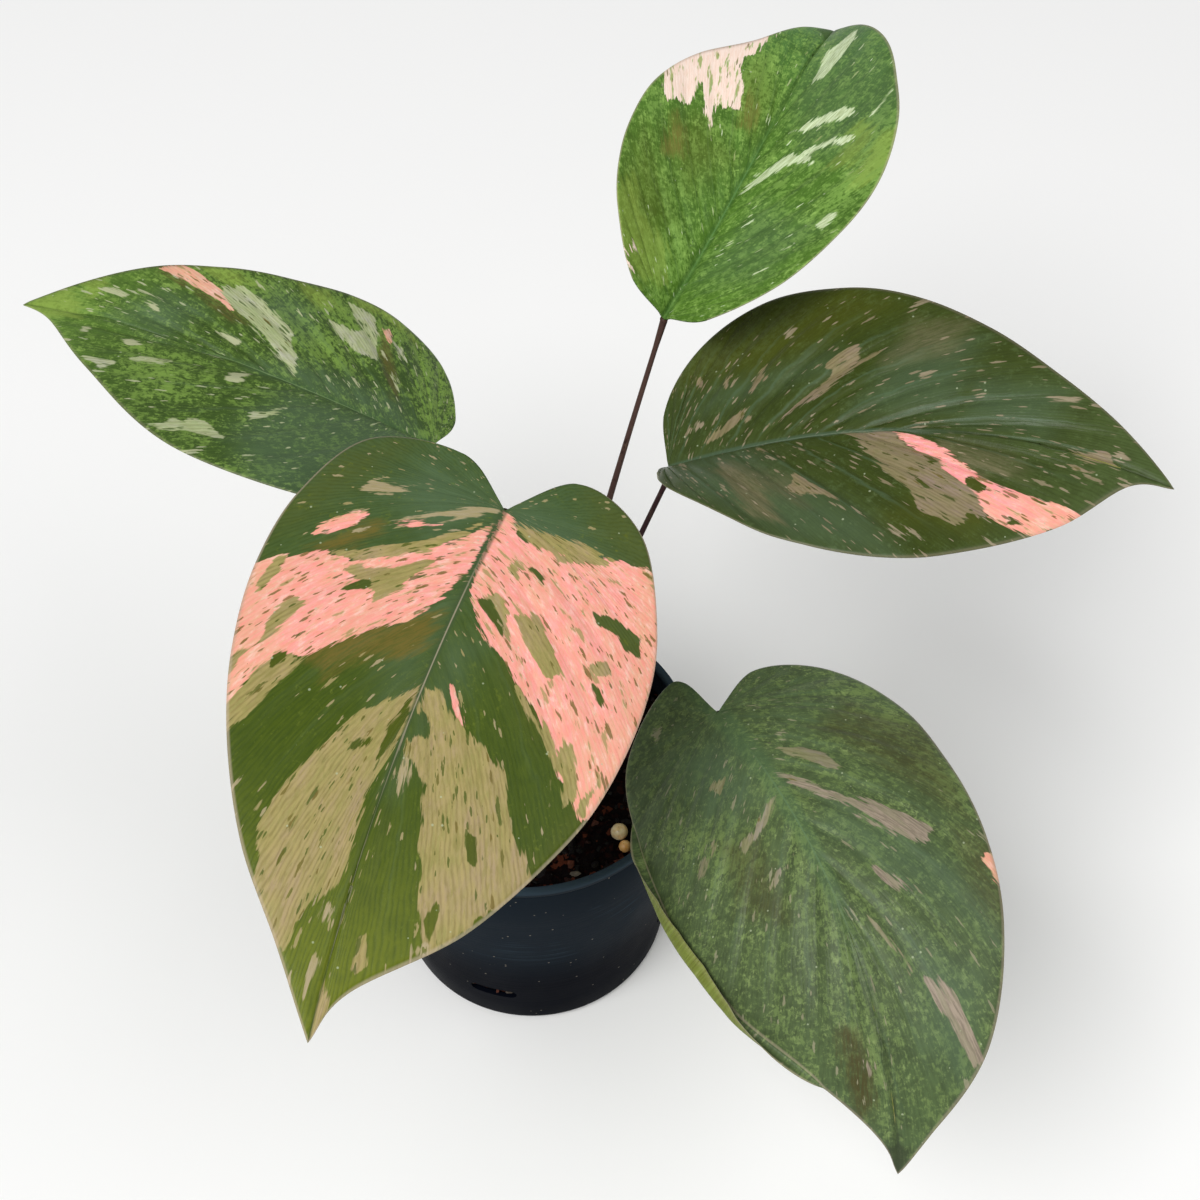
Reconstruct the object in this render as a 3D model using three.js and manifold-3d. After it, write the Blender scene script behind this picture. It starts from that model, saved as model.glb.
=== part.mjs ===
// A small aroid with five variegated leaves, growing in a thin round nursery pot.
// Millimetres, +Z up. The origin is the middle of the pot's underside, and the plant leans toward -Y.
import * as THREE from 'three';
import { mergeVertices } from 'three/addons/utils/BufferGeometryUtils.js';
import Module from 'manifold-3d';

// Pot
const POT_HEIGHT = 76;
const POT_TOP_RADIUS = 40;
const POT_BASE_RADIUS = 34.5;
const POT_WALL = 1.2;
const POT_FLOOR = 1.6;
const POT_HEEL = 1.5;
const LIP_THICKNESS = 1.9;
const LIP_HEIGHT = 2.4;
const LIP_ROUNDING = 0.5;
const LIP_FLARE_HEIGHT = 2;
const POT_SEGMENTS = 72;
const SLOT_COUNT = 4;
const SLOT_WIDTH = 12;
const SLOT_HEIGHT = 4;
const SLOT_MIDDLE_HEIGHT = 15.5;
const SLOT_CUT_DEPTH = 8;
const SLOT_END_SEGMENTS = 5;
const FIRST_SLOT_AZIMUTH = -105;

// Soil
const SOIL_HEIGHT = 68;
const SOIL_RELIEF = 1.2;
const SOIL_CLEARANCE = 0.35;
const SOIL_RINGS = 9;
const SOIL_SEGMENTS = 48;
const SEAT_GAP = 0.35;

// Crown and leaf stalks
const CROWN_MIDDLE = [1, 2];
const CROWN_RADIUS = 4.2;
const CROWN_TOP = 77.5;
const CROWN_SHOULDER = 73.5;
const CROWN_FOOT = 46;
const CROWN_SEGMENTS = 16;
const STALK_FOOT_RADIUS = 1.6;
const STALK_TOP_RADIUS = 0.55;
const STALK_FOOT_HEIGHT = 71.5;
const STALK_SIDES = 8;
const STALK_STEPS = 12;
const KNEE_PLACE = 0.35;
const NECK_PLACE = 0.72;
const NECK_LEAN = 0.7;

// Leaf blades
const BLADE_THICKNESS = 0.7;
const VEIN_ROWS = 20;
const VEIN_COLUMNS = 5;
const CURL_COLUMNS = 5;
const FIRST_VEIN_REACH = 0.1;
const TIP_CROWDING = 1.25;
const LAST_VEIN_START = 0.75;
const FAN_END = 0.22;
const FAN_REACH = 0.15;
const ELBOW_OUT = 0.55;
const ELBOW_ALONG = 0.3;
const ARCH_WIDTH = 40;
const MIDRIB_STEPS = 60;
const MARGIN_WAVES = 3.5;
const WAVE_PHASE = { left: 2.6, right: 0.8 };
const CURL_EASE = 0.6;

// Fertiliser beads, as places on the soil and diameters
const BEAD_SIDES = 14;
const BEAD_RINGS = 9;
const BEAD_MIDDLE = 0.42;
const BEADS = {
  large: { place: [22.1, -20.3], diameter: 4 },
  small: { place: [23.4, -23.9], diameter: 2.9 },
};

// Each blade starts at its attachment, heads along an azimuth and dips below the horizontal, in degrees.
// Sway turns it sideways and droop bends it down along its length. Fold lifts its halves into a shallow V,
// lift folds them more at the foot, and arch rounds them. Roll and twist tilt it about its midrib.
// The outlines are points beside and along the midrib, from the sinus round each half to the tip.
const BLADES = {
  front: {
    attachment: [0.1, -18.8, 182], heading: 250, sway: 7, dip: 0.6, droop: 22.4, bend: 1.5,
    roll: -7.5, twist: -4.8, fold: { left: -0.4, right: 3 }, lift: { left: 0, right: 1 }, arch: 14.3,
    length: 103.2, wave: 0.5, stalkLean: [0, 1.5, 0],
    left: [
      [10.7, -12.1], [25.1, -6.6], [34.6, 11.3], [37.5, 27.6],
      [36.3, 45.6], [31.3, 60.7], [20.3, 80.1], [4.3, 94.3],
    ],
    right: [
      [12, -8.6], [29.4, -5.5], [36, 10.7], [36.9, 27.7],
      [33.4, 44.3], [27.5, 60.3], [19.3, 75.7], [9, 89.5],
    ],
  },
  left: {
    attachment: [-17, 20.7, 157.2], heading: 172.9, sway: -17.2, dip: -27.6, droop: 42.8, bend: 1.5,
    roll: 8.2, twist: -6.3, fold: { left: 9.8, right: 6.2 }, lift: { left: 5.4, right: -6.5 }, arch: 10.2,
    length: 93.9, wave: 0.4, stalkLean: [1, 1, 0],
    left: [[11.5, -9.1], [26.6, -4.4], [33.4, 19.2], [32.1, 43.5], [16.9, 67.1], [4.2, 83.5]],
    right: [
      [10.5, -3.7], [28, 1], [34.5, 14.2], [34, 28.5],
      [28.6, 43], [23.9, 57.3], [19, 69.6], [9.3, 82.5],
    ],
  },
  top: {
    attachment: [30.7, 36.7, 178], heading: 60, sway: 9.3, dip: -15.7, droop: 45.4, bend: 3.2,
    roll: 9.2, twist: -26.2, fold: { left: 19.8, right: 15.7 }, lift: { left: 33.3, right: 26.5 }, arch: 5.5,
    length: 99, wave: 0.3, stalkLean: [-1, 0, 0],
    left: [
      [13.4, 0.5], [22.5, 10.7], [26.4, 24], [27.2, 38],
      [25.7, 50.2], [21.3, 63.2], [12.3, 76.3], [6, 93.1],
    ],
    right: [
      [12.7, -0.5], [25.3, 9.2], [31.7, 23.3], [33.4, 37.1],
      [30.9, 51.6], [25.4, 64.4], [18.8, 77.2], [8.9, 90.1],
    ],
  },
  right: {
    attachment: [31.5, 11.4, 160.2], heading: -6.7, sway: -23.1, dip: -30.5, droop: 35.9, bend: 1.5,
    roll: 4, twist: 12.6, fold: { left: 2.3, right: 1.4 }, lift: { left: 4.7, right: 48.6 }, arch: 7.7,
    length: 101.6, wave: 0.4, stalkLean: [-1.3, 0, 0],
    left: [
      [15.3, -0.8], [28.7, 6.4], [37.6, 19.7], [37.3, 34],
      [31.8, 48.9], [24.7, 62.4], [15.8, 75.3], [7.7, 89.4],
    ],
    right: [
      [12.1, 3.2], [23.9, 10], [32.9, 26.9], [33.7, 39.7],
      [32, 55.7], [27.1, 67.9], [15.8, 85.1], [3.2, 94.2],
    ],
  },
  low: {
    attachment: [41.6, -27.8, 129.6], heading: 298.7, sway: -18.5, dip: -14.3, droop: 78.5, bend: 1.5,
    roll: 12.3, twist: 11.8, fold: { left: -3.2, right: -4.7 }, lift: { left: -8.5, right: -13.3 }, arch: 25.1,
    length: 104.2, wave: 0.4, stalkLean: [4, -3, 1],
    curl: { side: 'right', from: 0.3, to: 0.86, radius: 1.1, turn: 180, flange: 2, inset: 2.4 },
    left: [
      [14.2, -7.3], [28.3, -0.8], [34.6, 15], [34.2, 30.9],
      [32.1, 48.1], [28.2, 62.8], [18.9, 81.5], [6.5, 95.1],
    ],
    right: [
      [3.1, -14.6], [22.5, -9.4], [31.8, 7], [35.1, 24.7],
      [35.1, 42.5], [30.8, 60.6], [23.7, 73.5], [4.2, 95],
    ],
  },
};

const COLOURS = {
  pot: 0x171b22, soil: 0x2a1a12, crown: 0x3c2a1e, petiole: 0x3a1418, bead: 0xc9a05a,
  front: 0xb98a62, left: 0x4c6b34, top: 0x6f9a3c, right: 0x3f5c34, low: 0x3d5f3c,
};

const wasm = await Module();
wasm.setup();

const radians = THREE.MathUtils.degToRad;
const UP = new THREE.Vector3(0, 0, 1);

// Solids from faces

function geometryFrom(points, triangles) {
  const geometry = new THREE.BufferGeometry();
  geometry.setAttribute('position', new THREE.Float32BufferAttribute(points.flatMap((p) => p.toArray()), 3));
  geometry.setIndex(triangles.flat());
  return geometry;
}

function plainGeometry(geometry) {
  const plain = geometry.clone();
  plain.deleteAttribute('normal');
  plain.deleteAttribute('uv');
  return mergeVertices(plain, 1e-4);
}

function solidFrom(geometry) {
  const plain = plainGeometry(geometry);
  return new wasm.Manifold(new wasm.Mesh({
    numProp: 3,
    vertProperties: new Float32Array(plain.attributes.position.array),
    triVerts: new Uint32Array(plain.index.array),
  }));
}

function geometryOf(solid) {
  const mesh = solid.getMesh();
  const geometry = new THREE.BufferGeometry();
  geometry.setAttribute('position', new THREE.BufferAttribute(new Float32Array(mesh.vertProperties), 3));
  geometry.setIndex(new THREE.BufferAttribute(new Uint32Array(mesh.triVerts), 1));
  return geometry;
}

function uprightLathe(profile, segments) {
  const points = profile.map(([radius, height]) => new THREE.Vector2(radius, height));
  return new THREE.LatheGeometry(points, segments).rotateX(Math.PI / 2);
}

// Pot

function potRadius(height) {
  return POT_BASE_RADIUS + (POT_TOP_RADIUS - POT_BASE_RADIUS) * height / POT_HEIGHT;
}

function potSolid() {
  const lipFoot = POT_HEIGHT - LIP_HEIGHT;
  const flareFoot = lipFoot - LIP_FLARE_HEIGHT;
  const outside = [
    [0, 0],
    [POT_BASE_RADIUS - POT_HEEL, 0],
    [POT_BASE_RADIUS - 0.3 * POT_HEEL, 0.3 * POT_HEEL],
    [potRadius(POT_HEEL), POT_HEEL],
    [potRadius(lipFoot), lipFoot],
    [POT_TOP_RADIUS, POT_HEIGHT - LIP_ROUNDING],
    [POT_TOP_RADIUS - LIP_ROUNDING, POT_HEIGHT],
  ];
  const inside = [
    [POT_TOP_RADIUS - LIP_THICKNESS + LIP_ROUNDING, POT_HEIGHT],
    [POT_TOP_RADIUS - LIP_THICKNESS, POT_HEIGHT - LIP_ROUNDING],
    [POT_TOP_RADIUS - LIP_THICKNESS, lipFoot],
    [potRadius(flareFoot) - POT_WALL, flareFoot],
    [potRadius(POT_FLOOR) - POT_WALL, POT_FLOOR],
    [0, POT_FLOOR],
  ];
  let pot = solidFrom(uprightLathe([...outside, ...inside], POT_SEGMENTS));
  for (let i = 0; i < SLOT_COUNT; i += 1) {
    pot = pot.subtract(solidFrom(slotCutter(FIRST_SLOT_AZIMUTH + i * 360 / SLOT_COUNT)));
  }
  return geometryOf(pot);
}

// A slot's cutter is a flat bar with round ends, pushed through the wall from outside.
function slotCutter(azimuth) {
  const end = SLOT_HEIGHT / 2;
  const half = SLOT_WIDTH / 2 - end;
  const shape = new THREE.Shape();
  shape.absarc(half, 0, end, -Math.PI / 2, Math.PI / 2);
  shape.absarc(-half, 0, end, Math.PI / 2, 3 * Math.PI / 2);
  const cut = { depth: SLOT_CUT_DEPTH, bevelEnabled: false, curveSegments: SLOT_END_SEGMENTS };
  const bar = new THREE.ExtrudeGeometry(shape, cut);
  bar.rotateX(Math.PI / 2);
  bar.translate(0, -(potRadius(SLOT_MIDDLE_HEIGHT) - SLOT_CUT_DEPTH / 2), SLOT_MIDDLE_HEIGHT);
  return bar.rotateZ(radians(azimuth + 90));
}

// Soil

function soilTop(x, y) {
  const coarse = Math.sin(x * 0.31 + 1.7) * Math.cos(y * 0.27 - 0.6);
  const chunks = Math.sin(x * 0.83 - y * 0.41) * Math.sin(y * 0.77 + x * 0.22 + 2.1);
  return SOIL_HEIGHT + SOIL_RELIEF * (0.45 * coarse + 0.55 * chunks);
}

function soilSolid() {
  const points = [new THREE.Vector3(0, 0, soilTop(0, 0))];
  const triangles = [];
  const at = (ring, segment) => (ring === 0 ? 0 : 1 + (ring - 1) * SOIL_SEGMENTS + segment % SOIL_SEGMENTS);
  const rim = potRadius(SOIL_HEIGHT - SOIL_RELIEF) - POT_WALL - SOIL_CLEARANCE;
  for (let ring = 1; ring <= SOIL_RINGS; ring += 1) {
    for (let segment = 0; segment < SOIL_SEGMENTS; segment += 1) {
      const angle = 2 * Math.PI * segment / SOIL_SEGMENTS;
      const radius = rim * ring / SOIL_RINGS;
      const x = radius * Math.cos(angle);
      const y = radius * Math.sin(angle);
      points.push(new THREE.Vector3(x, y, ring === SOIL_RINGS ? SOIL_HEIGHT - SOIL_RELIEF : soilTop(x, y)));
    }
  }
  const floorHeight = POT_FLOOR + SOIL_CLEARANCE;
  const floorRadius = potRadius(floorHeight) - POT_WALL - SOIL_CLEARANCE;
  for (let segment = 0; segment < SOIL_SEGMENTS; segment += 1) {
    const angle = 2 * Math.PI * segment / SOIL_SEGMENTS;
    points.push(new THREE.Vector3(floorRadius * Math.cos(angle), floorRadius * Math.sin(angle), floorHeight));
  }
  points.push(new THREE.Vector3(0, 0, floorHeight));
  const middleBelow = points.length - 1;
  for (let segment = 0; segment < SOIL_SEGMENTS; segment += 1) {
    triangles.push([0, at(1, segment), at(1, segment + 1)]);
    for (let ring = 1; ring <= SOIL_RINGS; ring += 1) {
      triangles.push([at(ring, segment), at(ring + 1, segment), at(ring + 1, segment + 1)]);
      triangles.push([at(ring, segment), at(ring + 1, segment + 1), at(ring, segment + 1)]);
    }
    triangles.push([middleBelow, at(SOIL_RINGS + 1, segment + 1), at(SOIL_RINGS + 1, segment)]);
  }
  const hole = uprightLathe([
    [0, CROWN_FOOT - SEAT_GAP],
    [CROWN_RADIUS + SEAT_GAP, CROWN_FOOT - SEAT_GAP],
    [CROWN_RADIUS + SEAT_GAP, CROWN_TOP],
    [0, CROWN_TOP],
  ], CROWN_SEGMENTS).translate(...CROWN_MIDDLE, 0);
  let soil = solidFrom(geometryFrom(points, triangles)).subtract(solidFrom(hole));
  for (const bead of Object.values(BEADS)) {
    soil = soil.subtract(solidFrom(beadSeat(bead)));
  }
  return geometryOf(soil);
}

// Beads

function beadMiddle(bead) {
  const [x, y] = bead.place;
  return [x, y, SOIL_HEIGHT + bead.diameter * BEAD_MIDDLE];
}

function beadSeat(bead) {
  return new THREE.SphereGeometry(bead.diameter / 2 + SEAT_GAP, BEAD_SIDES, BEAD_RINGS).translate(...beadMiddle(bead));
}

function beadSolid({ place, diameter }) {
  const bead = new THREE.SphereGeometry(diameter / 2, BEAD_SIDES, BEAD_RINGS);
  return bead.rotateX(Math.PI / 2).translate(...beadMiddle({ place, diameter }));
}

// Crown

function crownSolid() {
  return uprightLathe([
    [0, CROWN_FOOT],
    [CROWN_RADIUS * 0.8, CROWN_FOOT],
    [CROWN_RADIUS, CROWN_FOOT + 4],
    [CROWN_RADIUS, CROWN_SHOULDER],
    [CROWN_RADIUS * 0.7, CROWN_TOP - 1.6],
    [CROWN_RADIUS * 0.3, CROWN_TOP],
    [0, CROWN_TOP + 0.4],
  ], CROWN_SEGMENTS).translate(...CROWN_MIDDLE, 0);
}

// Blade surface

// The midrib as a curve: its point, its way, and the blade's right and up beside it.
function midribOf(blade) {
  const stepLength = blade.length / MIDRIB_STEPS;
  const wayAt = (along) => {
    const part = THREE.MathUtils.clamp(along / blade.length, 0, 1);
    const dip = radians(blade.dip + blade.droop * part ** blade.bend);
    const heading = radians(blade.heading + blade.sway * part);
    return { dip, heading, roll: radians(blade.roll + blade.twist * part) };
  };
  const forward = ({ dip, heading }) => new THREE.Vector3(
    Math.cos(dip) * Math.cos(heading), Math.cos(dip) * Math.sin(heading), -Math.sin(dip));
  const stations = [new THREE.Vector3(...blade.attachment)];
  for (let i = 0; i < MIDRIB_STEPS; i += 1) {
    const step = forward(wayAt((i + 0.5) * stepLength)).multiplyScalar(stepLength);
    stations.push(stations[i].clone().add(step));
  }
  return (along) => {
    const place = THREE.MathUtils.clamp(along / stepLength, 0, MIDRIB_STEPS);
    const i = Math.min(Math.floor(place), MIDRIB_STEPS - 1);
    const point = stations[i].clone().lerp(stations[i + 1], place - i);
    const way = wayAt(along);
    point.addScaledVector(forward(way), Math.min(along, 0));
    const level = new THREE.Vector3(Math.sin(way.heading), -Math.cos(way.heading), 0);
    const up = new THREE.Vector3(
      Math.sin(way.dip) * Math.cos(way.heading), Math.sin(way.dip) * Math.sin(way.heading), Math.cos(way.dip));
    const right = level.clone().multiplyScalar(Math.cos(way.roll)).addScaledVector(up, -Math.sin(way.roll));
    up.multiplyScalar(Math.cos(way.roll)).addScaledVector(level, Math.sin(way.roll));
    return { point, right, up };
  };
}

// A flat point of the blade, beside and along the midrib, bent into space.
function bladePlacer(blade) {
  const midrib = midribOf(blade);
  const bend = radians(blade.arch) / ARCH_WIDTH;
  return (side, across, along) => {
    const { point, right, up } = midrib(along);
    const sign = side === 'right' ? 1 : -1;
    const lift = blade.lift[side] * (1 - THREE.MathUtils.clamp(along / blade.length, 0, 1)) ** 2;
    const fold = radians(blade.fold[side] + lift);
    const out = (Math.sin(fold) - Math.sin(fold - bend * across)) / bend;
    const rise = (Math.cos(fold - bend * across) - Math.cos(fold)) / bend;
    return point.addScaledVector(right, sign * out).addScaledVector(up, rise);
  };
}

function outlineOf(blade, side) {
  const points = [[0, 0], ...blade[side], [0, blade.length]];
  return new THREE.CatmullRomCurve3(points.map(([x, y]) => new THREE.Vector3(x, y, 0)), false, 'catmullrom', 0.5);
}

// How far a margin is rolled up at a place along the outline, from 0 to 1.
function curlAmount(blade, side, reach) {
  if (!blade.curl || blade.curl.side !== side) {
    return 0;
  }
  const part = (reach - blade.curl.from) / (blade.curl.to - blade.curl.from);
  return part <= 0 || part >= 1 ? 0 : Math.sin(Math.PI * part) ** CURL_EASE;
}

// The flat end of a vein on the margin, drawn in where the margin is rolled up.
function veinEnd(blade, side, row) {
  if (row === VEIN_ROWS) {
    return new THREE.Vector3(0, blade.length, 0);
  }
  const outline = outlineOf(blade, side);
  const reach = reachOf(row);
  const end = outline.getPointAt(reach);
  const curl = curlAmount(blade, side, reach);
  if (curl > 0) {
    const tangent = outline.getTangentAt(reach);
    end.addScaledVector(new THREE.Vector3(-tangent.y, tangent.x, 0), blade.curl.inset * curl);
  }
  return end;
}

// The veins' ends stand closer together toward the tip.
function reachOf(row) {
  const part = 1 - (1 - row / VEIN_ROWS) ** TIP_CROWDING;
  return FIRST_VEIN_REACH + (1 - FIRST_VEIN_REACH) * part;
}

// Veins that end low on the margin fan out from the foot, and the others start along the midrib.
function veinStart(blade, row) {
  const starts = ['left', 'right'].map((side) => {
    const left = (blade.length - veinEnd(blade, side, row).y) / (blade.length * (1 - FAN_END));
    return LAST_VEIN_START * blade.length * (1 - Math.sqrt(THREE.MathUtils.clamp(left, 0, 1)));
  });
  return (starts[0] + starts[1]) / 2;
}

// Each lateral vein leaves the midrib, runs outward and bends toward the tip until it meets the margin.
// The veins of the fan are straighter.
function veinOf(blade, side, row) {
  const end = veinEnd(blade, side, row);
  const start = veinStart(blade, row);
  const straightness = 1 - Math.min((reachOf(row) - FIRST_VEIN_REACH) / FAN_REACH, 1);
  const along = THREE.MathUtils.lerp(ELBOW_ALONG, ELBOW_OUT, straightness);
  const elbow = new THREE.Vector3(ELBOW_OUT * end.x, start + along * (end.y - start), 0);
  const curve = new THREE.QuadraticBezierCurve3(new THREE.Vector3(0, start, 0), elbow, end);
  const outline = outlineOf(blade, side);
  return {
    start,
    reach: reachOf(row),
    curl: curlAmount(blade, side, reachOf(row)),
    pointAt: (part) => (row === 0 ? outline.getPointAt(FIRST_VEIN_REACH * part) : curve.getPoint(part)),
  };
}

function waveAt(blade, side, reach, part) {
  const turn = 2 * Math.PI * MARGIN_WAVES * reach + WAVE_PHASE[side];
  return blade.wave * part ** 2 * Math.sin(turn) * Math.sin(Math.PI * reach);
}

// The blade's middle surface: rows along the veins of both halves, sharing the midrib, then the rolled margin.
function bladeSheet(blade) {
  const place = bladePlacer(blade);
  const points = [place('right', 0, 0)];
  const triangles = [];
  const shared = new Map([['foot', 0]]);
  const keep = (key, make) => {
    if (!shared.has(key)) {
      shared.set(key, points.push(make()) - 1);
    }
    return shared.get(key);
  };
  const addFace = (a, b, c, turned) => {
    if (a !== b && b !== c && c !== a) {
      triangles.push(turned ? [a, c, b] : [a, b, c]);
    }
  };
  for (const side of ['left', 'right']) {
    const veins = Array.from({ length: VEIN_ROWS + 1 }, (_, row) => veinOf(blade, side, row));
    const vertex = (row, column) => {
      const vein = veins[row];
      const part = column / VEIN_COLUMNS;
      const make = () => {
        const flat = vein.pointAt(part);
        const point = place(side, flat.x, flat.y);
        return point.addScaledVector(UP, waveAt(blade, side, vein.reach, part));
      };
      if (column === 0 && vein.start === 0) {
        return 0;
      }
      if (row === VEIN_ROWS) {
        return keep(`tip ${column}`, make);
      }
      return column === 0 ? keep(`rib ${row}`, make) : keep(`${side} ${row} ${column}`, make);
    };
    const turned = side === 'right';
    for (let row = 0; row < VEIN_ROWS; row += 1) {
      for (let column = 0; column < VEIN_COLUMNS; column += 1) {
        const [a, b] = [vertex(row, column), vertex(row + 1, column)];
        const [c, d] = [vertex(row + 1, column + 1), vertex(row, column + 1)];
        addFace(a, b, c, turned);
        addFace(a, c, d, turned);
      }
    }
    if (blade.curl && blade.curl.side === side) {
      addCurl(blade, veins, vertex, points, addFace, turned);
    }
  }
  return { points, triangles };
}

// The rolled margin: columns that go on from the margin, turn up and lie back over the blade.
function addCurl(blade, veins, vertex, points, addFace, turned) {
  const strips = veins.map((vein, row) => {
    const foot = vertex(row, VEIN_COLUMNS);
    if (vein.curl === 0) {
      return Array(CURL_COLUMNS + 1).fill(foot);
    }
    const origin = points[foot];
    const along = points[vertex(row + 1, VEIN_COLUMNS)].clone().sub(points[vertex(row - 1, VEIN_COLUMNS)]);
    along.normalize();
    const inward = points[vertex(row, VEIN_COLUMNS - 1)].clone().sub(origin);
    const outward = inward.addScaledVector(along, -inward.dot(along)).normalize().negate();
    const up = outward.clone().cross(along).normalize();
    if (up.z < 0) {
      up.negate();
    }
    const strip = [foot];
    for (let column = 1; column <= CURL_COLUMNS; column += 1) {
      const bent = Math.min(column / (CURL_COLUMNS - 1), 1);
      const turn = radians(blade.curl.turn * vein.curl * bent);
      const flange = column === CURL_COLUMNS ? blade.curl.flange * vein.curl : 0;
      const out = blade.curl.radius * Math.sin(turn) + flange * Math.cos(turn);
      const rise = blade.curl.radius * (1 - Math.cos(turn)) + flange * Math.sin(turn);
      strip.push(points.push(origin.clone().addScaledVector(outward, out).addScaledVector(up, rise)) - 1);
    }
    return strip;
  });
  for (let row = 0; row < VEIN_ROWS; row += 1) {
    for (let column = 0; column < CURL_COLUMNS; column += 1) {
      const [a, b] = [strips[row][column], strips[row + 1][column]];
      const [c, d] = [strips[row + 1][column + 1], strips[row][column + 1]];
      addFace(a, b, c, turned);
      addFace(a, c, d, turned);
    }
  }
}

// Both faces of a sheet, split alike, with walls round its edge.
function thickened({ points, triangles }, thickness) {
  const normals = points.map(() => new THREE.Vector3());
  for (const [a, b, c] of triangles) {
    const edge = points[b].clone().sub(points[a]);
    const face = edge.cross(points[c].clone().sub(points[a]));
    for (const i of [a, b, c]) {
      normals[i].add(face);
    }
  }
  normals.forEach((normal) => normal.normalize());
  const above = points.map((p, i) => p.clone().addScaledVector(normals[i], thickness / 2));
  const below = points.map((p, i) => p.clone().addScaledVector(normals[i], -thickness / 2));
  const count = points.length;
  const faces = triangles.map((face) => [...face]);
  const edges = new Set(triangles.flatMap(([a, b, c]) => [`${a} ${b}`, `${b} ${c}`, `${c} ${a}`]));
  for (const [a, b, c] of triangles) {
    faces.push([count + a, count + c, count + b]);
    for (const [from, to] of [[a, b], [b, c], [c, a]]) {
      if (!edges.has(`${to} ${from}`)) {
        faces.push([to, from, count + from], [to, count + from, count + to]);
      }
    }
  }
  return geometryFrom([...above, ...below], faces);
}

function bladeSolid(blade) {
  return thickened(bladeSheet(blade), BLADE_THICKNESS);
}

// Leaf stalks

// A stalk leaves the crown's side, leans a little on its way and ends just under its blade's attachment.
function stalkCurve(blade) {
  const seat = new THREE.Vector3(...blade.attachment);
  const { up } = midribOf(blade)(0);
  seat.addScaledVector(up, -(BLADE_THICKNESS / 2 + SEAT_GAP + STALK_TOP_RADIUS));
  const out = Math.atan2(seat.y - CROWN_MIDDLE[1], seat.x - CROWN_MIDDLE[0]);
  const ring = CROWN_RADIUS + SEAT_GAP + STALK_FOOT_RADIUS;
  const foot = new THREE.Vector3(
    CROWN_MIDDLE[0] + ring * Math.cos(out), CROWN_MIDDLE[1] + ring * Math.sin(out), STALK_FOOT_HEIGHT);
  const lean = new THREE.Vector3(...blade.stalkLean);
  const knee = foot.clone().lerp(seat, KNEE_PLACE).add(lean);
  const neck = foot.clone().lerp(seat, NECK_PLACE).addScaledVector(lean, NECK_LEAN);
  return new THREE.CatmullRomCurve3([foot, knee, neck, seat], false, 'centripetal');
}

function taperedTube(curve, radiusAt, steps, sides) {
  const frames = curve.computeFrenetFrames(steps, false);
  const points = [];
  const triangles = [];
  for (let step = 0; step <= steps; step += 1) {
    const middle = curve.getPointAt(step / steps);
    for (let side = 0; side < sides; side += 1) {
      const angle = 2 * Math.PI * side / sides;
      const radius = radiusAt(step / steps);
      points.push(middle.clone()
        .addScaledVector(frames.normals[step], radius * Math.cos(angle))
        .addScaledVector(frames.binormals[step], radius * Math.sin(angle)));
    }
  }
  const at = (step, side) => step * sides + side % sides;
  for (let side = 0; side < sides; side += 1) {
    for (let step = 0; step < steps; step += 1) {
      triangles.push([at(step, side), at(step, side + 1), at(step + 1, side + 1)]);
      triangles.push([at(step, side), at(step + 1, side + 1), at(step + 1, side)]);
    }
  }
  for (let side = 1; side < sides - 1; side += 1) {
    triangles.push([at(0, 0), at(0, side + 1), at(0, side)]);
    triangles.push([at(steps, 0), at(steps, side), at(steps, side + 1)]);
  }
  return geometryFrom(points, triangles);
}

function stalkSolid(blade) {
  const radiusAt = (part) => STALK_TOP_RADIUS + (STALK_FOOT_RADIUS - STALK_TOP_RADIUS) * (1 - part) ** 2;
  return taperedTube(stalkCurve(blade), radiusAt, STALK_STEPS, STALK_SIDES);
}

// Scene graph

function meshOf(name, geometry, colour, roughness) {
  const material = new THREE.MeshStandardMaterial({ color: colour, roughness, metalness: 0 });
  const mesh = new THREE.Mesh(geometry, material);
  mesh.name = name;
  return mesh;
}

const group = new THREE.Group();
group.add(meshOf('pot', potSolid(), COLOURS.pot, 0.45));
group.add(meshOf('soil', soilSolid(), COLOURS.soil, 0.95));
group.add(meshOf('crown', crownSolid(), COLOURS.crown, 0.7));
for (const [name, bead] of Object.entries(BEADS)) {
  group.add(meshOf(`bead_${name}`, beadSolid(bead), COLOURS.bead, 0.4));
}
for (const [name, blade] of Object.entries(BLADES)) {
  group.add(meshOf(`petiole_${name}`, stalkSolid(blade), COLOURS.petiole, 0.4));
  group.add(meshOf(`blade_${name}`, bladeSolid(blade), COLOURS[name], 0.4));
}

export default group;
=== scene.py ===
"""A potted aroid with five variegated leaves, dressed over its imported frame."""

import math

import bmesh
import bpy
import numpy as np
from bpy.props import FloatProperty, FloatVectorProperty, IntProperty, PointerProperty
from mathutils import Matrix, Vector, noise


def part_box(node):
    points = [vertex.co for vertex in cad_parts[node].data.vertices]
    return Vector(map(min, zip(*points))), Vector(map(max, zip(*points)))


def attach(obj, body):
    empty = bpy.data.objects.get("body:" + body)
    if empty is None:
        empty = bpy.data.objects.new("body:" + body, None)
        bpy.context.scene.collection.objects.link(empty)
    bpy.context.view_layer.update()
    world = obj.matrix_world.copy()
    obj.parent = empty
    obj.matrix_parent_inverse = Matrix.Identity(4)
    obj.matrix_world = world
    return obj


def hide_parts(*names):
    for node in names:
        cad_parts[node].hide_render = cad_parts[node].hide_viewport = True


bl_info = {
    "name": "Variegated Aroid in a Nursery Pot",
    "version": (1, 0, 0),
    "blender": (4, 5, 0),
    "location": "3D Viewport > Sidebar > Plant",
    "description": "Leaves with grown-in markings, leaf stalks, potting bark and a thin nursery pot",
    "category": "Add Mesh",
}

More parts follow.
